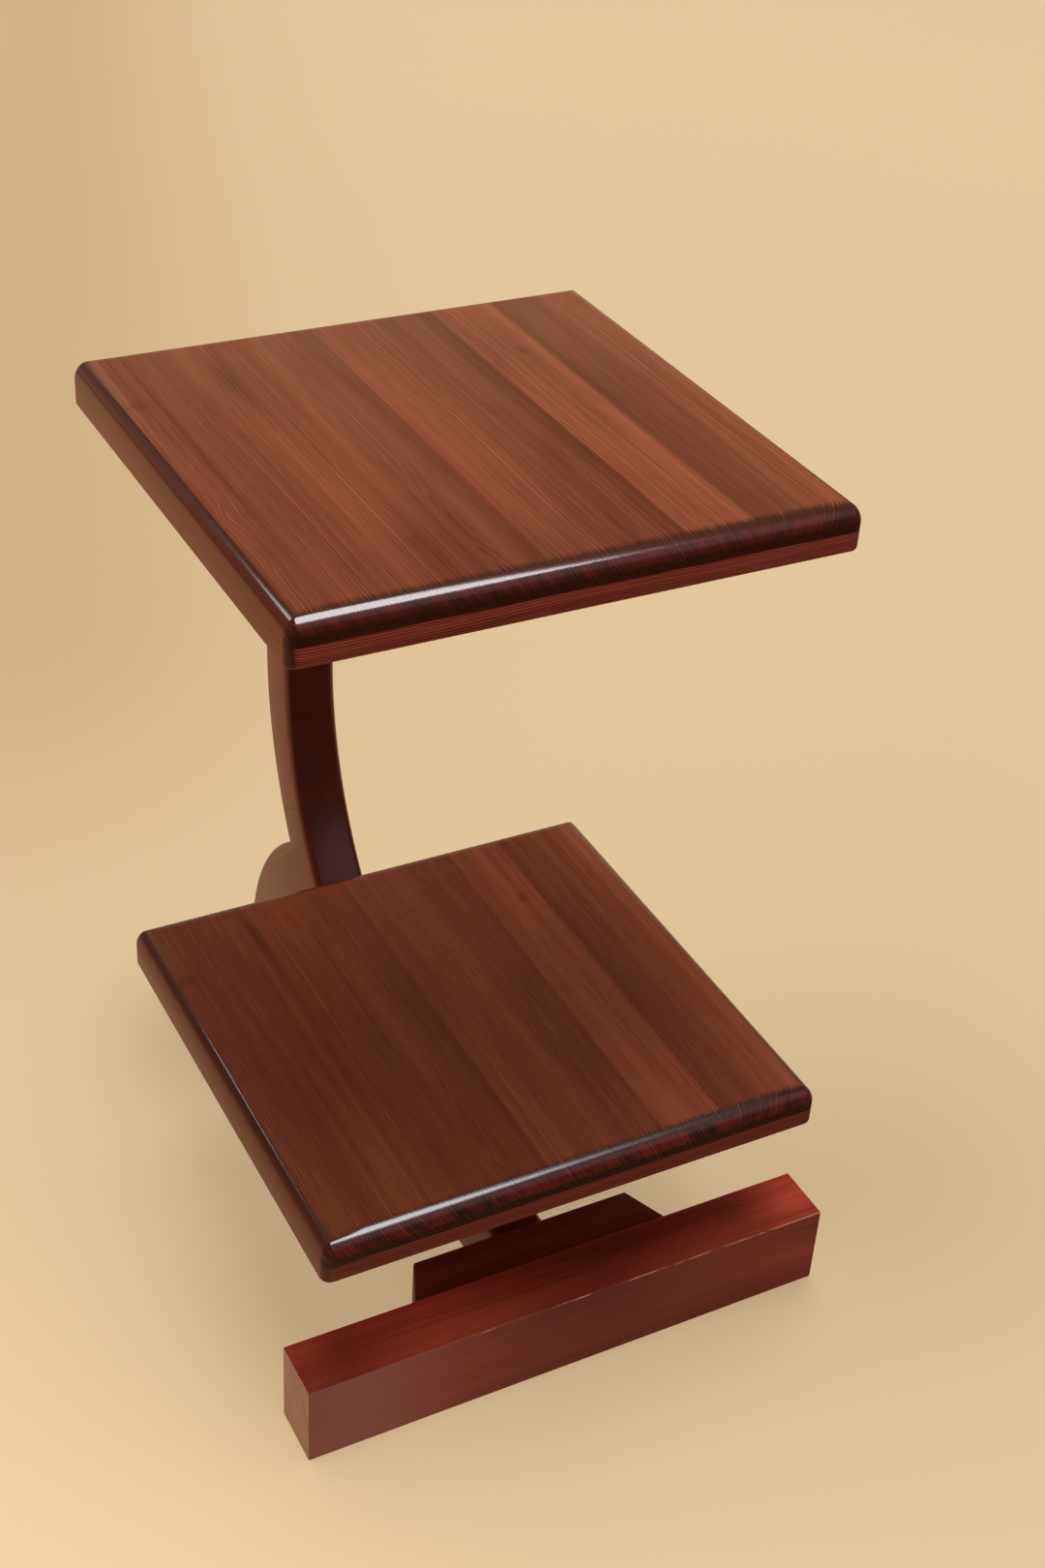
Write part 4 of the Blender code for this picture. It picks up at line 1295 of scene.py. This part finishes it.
@dataclass
class Fixings:
    """The countersunk screws, and the holes that they sit in."""

    shank: float = 0.0025
    root: float = 0.0018
    pitch: float = 0.0012
    threaded: float = 0.65
    tip: float = 0.005
    head: float = 0.005
    head_height: float = 0.003
    head_rim: float = 0.0005
    cross_width: float = 0.0010
    cross_reach: float = 0.0056
    cross_depth: float = 0.0018
    overrun: float = 0.001
    sides: int = 32

    def _turned(self, name: str, profile: Sequence[tuple[float, float]], axis: Vector) -> Workpiece:
        """Turn a profile about an axis through the origin.

        Args:
            name: the name of the piece.
            profile: its points, as a radius and a distance along the axis.
            axis: the axis.

        Returns:
            The open workpiece.
        """
        places = [Vector((radius, 0.0, 0.0)) + axis * along for radius, along in profile]
        work = Workpiece.outline(name, places[0])
        for place in places[1:]:
            work.draw_to(place)
        work.pick_all("VERT")
        bpy.ops.mesh.spin(steps=self.sides, angle=2 * pi, center=(0.0, 0.0, 0.0), axis=axis, dupli=False)
        work.merge()
        bpy.ops.mesh.normals_make_consistent(inside=False)
        return work

    def _screw(self, length: float, axis: Vector) -> Workpiece:
        """A screw whose head lies at the origin, with its thread and the cross in its head.

        Args:
            length: its length.
            axis: the way that it points.

        Returns:
            The open pattern.
        """
        along = length - self.tip
        profile = [(0.0, length), (self.root, along)]
        while along > length * (1.0 - self.threaded):
            profile += [(self.shank, along - self.pitch / 2), (self.root, along - self.pitch)]
            along -= self.pitch
        profile += [(self.shank, along - self.pitch), (self.shank, self.head_height),
                    (self.head, self.head_rim), (self.head, 0.0), (0.0, 0.0)]
        work = self._turned("screw_pattern", profile, axis)
        upright = axis.cross(ACROSS)
        for first, second in ((ACROSS, upright), (upright, ACROSS)):
            corner = first * (self.cross_reach / 2) + second * (self.cross_width / 2)
            ends = (corner - axis * self.overrun, axis * self.cross_depth - corner)
            low, high = ([test(pair) for pair in zip(*ends)] for test in (min, max))
            work.cut(Workpiece.block("cross", low, high))
        return work

    @staticmethod
    def _place(node: str, axis: Vector) -> tuple[Vector, float]:
        """Where the middle of a screw's head lies, and how long the screw is."""
        low, high = (Vector(corner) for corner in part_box(node))
        length = abs((high - low).dot(axis))
        return (low + high) / 2 - axis * (length / 2), length

    def bore(self, node: str, axis: Vector, recess: float) -> Workpiece:
        """The hole of a screw, as a cutter.

        Args:
            node: the screw's node.
            axis: the way that it points.
            recess: how far the hole runs on behind the head.

        Returns:
            The cutter.
        """
        place, length = self._place(node, axis)
        end = length + GLUE_LINE
        shank = self.shank + GLUE_LINE
        head = self.head + GLUE_LINE
        work = self._turned(node + "_hole", [
            (0.0, end), (shank, end - self.tip), (shank, self.head_height + GLUE_LINE),
            (head, self.head_rim + GLUE_LINE), (head, -recess), (0.0, -recess)], axis)
        work.move(place)
        return work

    def make_screws(self, nodes: Sequence[str], axis: Vector, finish: ZincFinish) -> None:
        """Screws of one kind, modelled once and copied.

        Args:
            nodes: their nodes.
            axis: the way that they point.
            finish: their finish.
        """
        pattern = self._screw(self._place(nodes[0], axis)[1], axis)
        material = finish.make()
        for node in nodes:
            work = pattern.copy("steel_" + node)
            work.move(self._place(node, axis)[0])
            fit(work, node, material)
        pattern.discard()

    @staticmethod
    def dress_tenons(nodes: Sequence[str], finish: BeechFinish) -> None:
        """Give the loose tenons a better finish, on the frame's own nodes."""
        material = finish.make()
        for node in nodes:
            frame["nodes"][node].data.materials[0] = material
            LOG.info("%s: dressed in %s", node, material.name)


@dataclass
class Foot:
    """The bar across the front and the raked block that spreads the rail's load along it."""

    fixings: Fixings
    bar_ease: float = 0.0012
    block_ease: float = 0.0018
    ease_steps: int = 4
    block_length: float = 0.218
    rake: float = 0.0185

    def _dress(self, work: Workpiece, node: str, ease: float, finish: PineFinish) -> None:
        """Ease a board's edges, bore it for the long screws and fit it.

        Args:
            work: the board.
            node: its CAD node.
            ease: the radius of its edges.
            finish: its finish.
        """
        work.ease(ease, self.ease_steps)
        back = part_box("spreader_block")[1][1]
        for screw in BLOCK_SCREWS:
            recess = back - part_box(screw)[1][1] + self.fixings.overrun
            work.cut(self.fixings.bore(screw, FORWARD, recess))
        fit(work, node, finish.make())

    def make_bar(self, finish: PineFinish) -> None:
        """The bar across the front."""
        self._dress(Workpiece.block("wood_foot_bar", *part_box("foot_bar")), "foot_bar", self.bar_ease, finish)

    def make_block(self, finish: PineFinish) -> None:
        """The block, with raked ends and four deep counterbores in its back."""
        low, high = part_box("spreader_block")
        half = self.block_length / 2
        work = Workpiece.block("wood_spreader_block", (-half, low[1], low[2]), (half, high[1], high[2]))
        for sign in (-1.0, 1.0):
            work.slice((sign * half, low[1], 0.0), (sign * (high[1] - low[1]), self.rake, 0.0))
        self._dress(work, "spreader_block", self.block_ease, finish)


@dataclass
class Cleats:
    """The cleats that hold the staves of both tops flat."""

    fixings: Fixings
    ease: float = 0.0015
    ease_steps: int = 3

    def make_cleat(self, node: str, finish: PineFinish) -> None:
        """One cleat with eased edges and two countersunk holes.

        Args:
            node: its CAD node.
            finish: its finish.
        """
        work = Workpiece.block("wood_" + node, *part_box(node))
        work.ease(self.ease, self.ease_steps)
        for number in (1, 2):
            work.cut(self.fixings.bore(f"{node}_screw_{number}", UPWARD, self.fixings.overrun))
        fit(work, node, finish.make())


@dataclass
class Studio:
    """A pale sweep under a large overhead softbox, with a dim room around it."""

    paper_from: tuple[float, float] = (-4.0, -0.78)
    paper_to: tuple[float, float] = (7.0, 9.0)
    paper_rim: float = 0.3
    paper_cloud: float = 0.015
    paper_glow: float = 0.50
    floor_colour: Colour = (0.760, 0.575, 0.325)
    room: Colour = (0.060, 0.052, 0.056)
    sweep: Colour = (0.560, 0.430, 0.250)
    window: Colour = (0.300, 0.265, 0.290)
    front_window: Colour = (0.850, 0.740, 0.900)
    fill_dark: Colour = (0.340, 0.325, 0.310)
    fill_bright: Colour = (0.640, 0.605, 0.550)
    lamp_colour: Colour = (0.98, 0.96, 1.0)
    sweep_way: Point = (0.49, 0.87, 0.0)
    window_way: Point = (-0.371, 0.847, 0.381)
    front_window_way: Point = (0.42, -0.67, 0.60)
    fill_way: Point = (0.10, 0.99, 0.0)
    dim_reflection: float = 0.80
    corner_shade: Colour = (0.83, 0.78, 0.71)
    pools: tuple[Mark, ...] = (Mark(-0.34, -0.30, 0.40, 0.38, -0.22), Mark(0.33, -0.24, 0.20, 0.20, 0.17),
                               Mark(0.55, 0.00, 0.30, 0.25, 0.04), Mark(-0.13, 0.16, 0.07, 0.10, 0.20),
                               Mark(-0.19, -0.17, 0.06, 0.12, 0.16), Mark(-0.04, -0.33, 0.14, 0.05, 0.07),
                               Mark(2.00, 2.60, 1.20, 1.20, -0.03))
    side_place: Point = (-0.92, 0.83, 1.40)
    side_size: float = 0.30
    side_power: float = 3.2
    softbox_place: Point = (0.30, -0.85, 2.15)
    softbox_size: float = 0.85
    softbox_power: float = 56.0
    lamp_aim: Point = (0.0, -0.1, 0.5)
    key_way: Point = (-0.12, -0.20, -1.0)
    key_angle: float = radians(42.0)
    key_power: float = 1.7

    def make_floor(self) -> None:
        """The paper under and behind the table."""
        size = tuple(to - start for start, to in zip(self.paper_from, self.paper_to))
        middle = tuple((to + start) / 2 for start, to in zip(self.paper_from, self.paper_to))
        work = Workpiece.plane("studio_paper", size, (*middle, 0.0))
        work.pick_all("FACE")
        work.inset(self.paper_rim)
        paper = work.finish()
        material, bench = Bench.material("studio_paper")
        place = bench.node("ShaderNodeTexCoord", output="Object")
        darker, lighter = (tuple(share * part for part in self.floor_colour)
                           for share in (1.0 - self.paper_cloud, 1.0 + self.paper_cloud))
        colour = self._pools(bench, place, bench.mix(bench.noise(place, 0.9, 2.0, 0.5), darker, lighter))
        x, y, _ = bench.split(place)
        ray = bench.node("ShaderNodeLightPath", output="Is Glossy Ray")
        dim = ray * x.rise(-0.20, -0.06) * (-y).rise(0.20, 0.30) * self.dim_reflection
        colour = bench.mix(dim, colour, self.room)
        # The paper glows with its own colour as well as taking light: painted light that lifts the shadows on
        # it.
        bench.surface({
            "Base Color": bench.mix(1.0, colour, (1.0 - self.paper_glow,) * 3, "MULTIPLY"), "Roughness": 0.5,
            "Specular IOR Level": 0.2, "Emission Color": colour, "Emission Strength": self.paper_glow})
        paper.data.materials.append(material)
        LOG.info("%s: %d faces", paper.name, len(paper.data.polygons))

    def _pools(self, bench: Bench, place: Wire, colour: Wire) -> Wire:
        """Paint pools of light and the table's cast shadows on the paper, and painted shade along its left
        side at the back.
        """
        x, y, _ = bench.split(place)
        aside = (x - y * 0.31 + 0.32) / 0.33
        corner = (-(aside ** 2.0)).exponent() * y.rise(0.2, 0.9)
        colour = bench.mix(corner, colour, bench.mix(1.0, colour, self.corner_shade, "MULTIPLY"))
        shade: Input = 1.0
        for pool in self.pools:
            shade = shade - pool.shows(x, y) * pool.dark
        return bench.shaded(colour, shade)

    def make_world(self) -> None:
        """The room: bright sweep behind the table, dark behind the photographer and above."""
        world = bpy.data.worlds.new("studio")
        world.use_nodes = True
        bpy.context.scene.world = world
        bench = Bench(world.node_tree)
        ray = bench.node("ShaderNodeLightPath")
        seen = Wire(bench, ray.socket.node.outputs["Is Camera Ray"])
        glossy = Wire(bench, ray.socket.node.outputs["Is Glossy Ray"])
        way = bench.node("ShaderNodeTexCoord", output="Generated")
        sweep, window, front, side = (
            bench.vector("DOT_PRODUCT", way, towards, 1)
            for towards in (self.sweep_way, self.window_way, self.front_window_way, self.fill_way))
        height = bench.split(way)[2]
        behind = sweep.rise(0.35, 0.62) * (1.0 - height.rise(0.30, 0.46))
        reflected = bench.mix(behind, self.room, self.sweep)
        reflected = bench.mix(window.rise(0.968, 0.990), reflected, self.window)
        reflected = bench.mix(front.rise(0.90, 0.995), reflected, self.front_window)
        fill = bench.mix(side.rise(-0.8, 0.7), self.fill_dark, self.fill_bright)
        colour = bench.mix(glossy, fill, reflected)
        colour = bench.mix(height.rise(-0.03, 0.0), self.room, colour)
        colour = bench.mix(seen, colour, self.floor_colour)
        background = bench.node("ShaderNodeBackground", None, {"Color": colour, "Strength": 1.0})
        bench.node("ShaderNodeOutputWorld", None, {"Surface": background})

    def make_gloss(self, name: str, place: Point, size: float, power: float) -> None:
        """A square lamp that looks at the table and shows only in its gloss.

        Args:
            name: its name.
            place: its middle.
            size: its width and height.
            power: its power in watts.
        """
        data = bpy.data.lights.new(name, "AREA")
        data.shape = "RECTANGLE"
        data.size = data.size_y = size
        data.energy = power
        data.color = self.lamp_colour
        lamp = self._hang(data, Vector(self.lamp_aim) - Vector(place))
        lamp.location = place
        lamp.visible_diffuse = False
        lamp.visible_camera = False

    def make_key(self) -> None:
        """The wide light from overhead, which shows in no gloss."""
        sun = bpy.data.lights.new("softbox_light", "SUN")
        sun.energy = self.key_power
        sun.angle = self.key_angle
        self._hang(sun, Vector(self.key_way)).visible_glossy = False

    @staticmethod
    def _hang(data: bpy.types.Light, way: Vector) -> bpy.types.Object:
        """Add a light to the scene, turned to shine along a direction."""
        lamp = bpy.data.objects.new(data.name, data)
        bpy.context.scene.collection.objects.link(lamp)
        lamp.rotation_euler = way.to_track_quat("-Z", "Y").to_euler()
        return lamp

    def make(self) -> None:
        """Set up the floor, the world and the lamps."""
        self.make_floor()
        self.make_world()
        self.make_gloss("softbox_gloss", self.softbox_place, self.softbox_size, self.softbox_power)
        self.make_gloss("side_gloss", self.side_place, self.side_size, self.side_power)
        self.make_key()


@dataclass
class Camera:
    """The photograph's viewpoint."""

    place: Point = (-0.6141, -1.25065, 1.2911)
    lens: float = 51.21
    sensor: float = 36.0
    azimuth: float = radians(-29.4408)
    elevation: float = radians(34.2585)
    roll: float = radians(3.766)

    def make(self) -> None:
        """Add the camera and make it the scene's."""
        back = Vector((sin(self.azimuth) * cos(self.elevation), -cos(self.azimuth) * cos(self.elevation),
                       sin(self.elevation)))
        level = Vector((cos(self.azimuth), sin(self.azimuth), 0.0))
        upright = back.cross(level)
        right = level * cos(self.roll) + upright * sin(self.roll)
        up = upright * cos(self.roll) - level * sin(self.roll)
        data = bpy.data.cameras.new("camera")
        data.lens = self.lens
        data.sensor_width = self.sensor
        camera = bpy.data.objects.new("camera", data)
        bpy.context.scene.collection.objects.link(camera)
        camera.matrix_world = Matrix((right, up, back)).transposed().to_4x4()
        camera.location = self.place
        bpy.context.scene.camera = camera
        bpy.context.scene.view_settings.view_transform = "Standard"


def main() -> None:
    """Build the table's looks, the studio and the camera."""
    logging.basicConfig(level=logging.INFO, format="%(message)s")
    for name, staves, front, side in (("top", STAVES, LIPPING, SIDE_LIPPING),
                                      ("shelf", SHELF_STAVES, SHELF_LIPPING, SHELF_SIDE_LIPPING)):
        tier = Tier(name, staves)
        tier.make_staves()
        tier.make_lippings(replace(front, name=name + "_front_pine", turn=Grain.WIDE.value),
                           replace(side, name=name + "_side_pine"))
    carcass = Carcass()
    turn = (-carcass.post_middle - pi / 2, 0.0, 0.0)
    carcass.make_post([replace(POST, name=f"post_{part}_pine", turn=turn) for part in ("lower", "upper")])
    carcass.make_heel(HEEL)
    carcass.make_rail(replace(FRAME_PINE, name="rail_pine", seed=34.0))
    carcass.make_arm(replace(FRAME_PINE, name="arm_pine", seed=35.0))
    carcass.make_riser(replace(FRAME_PINE, name="riser_pine", seed=36.0, turn=Grain.UPRIGHT.value))
    fixings = Fixings()
    foot = Foot(fixings)
    foot.make_bar(BAR)
    foot.make_block(BLOCK)
    cleats = Cleats(fixings)
    for node in CLEATS:
        cleats.make_cleat(node, replace(FRAME_PINE, name=node + "_pine", seed=40.0, turn=Grain.WIDE.value))
    fixings.make_screws(CLEAT_SCREWS, UPWARD, ZincFinish())
    fixings.make_screws(BLOCK_SCREWS, FORWARD, ZincFinish())
    fixings.dress_tenons(TENONS, BeechFinish())
    Studio().make()
    Camera().make()


if __name__ == "__main__":
    main()
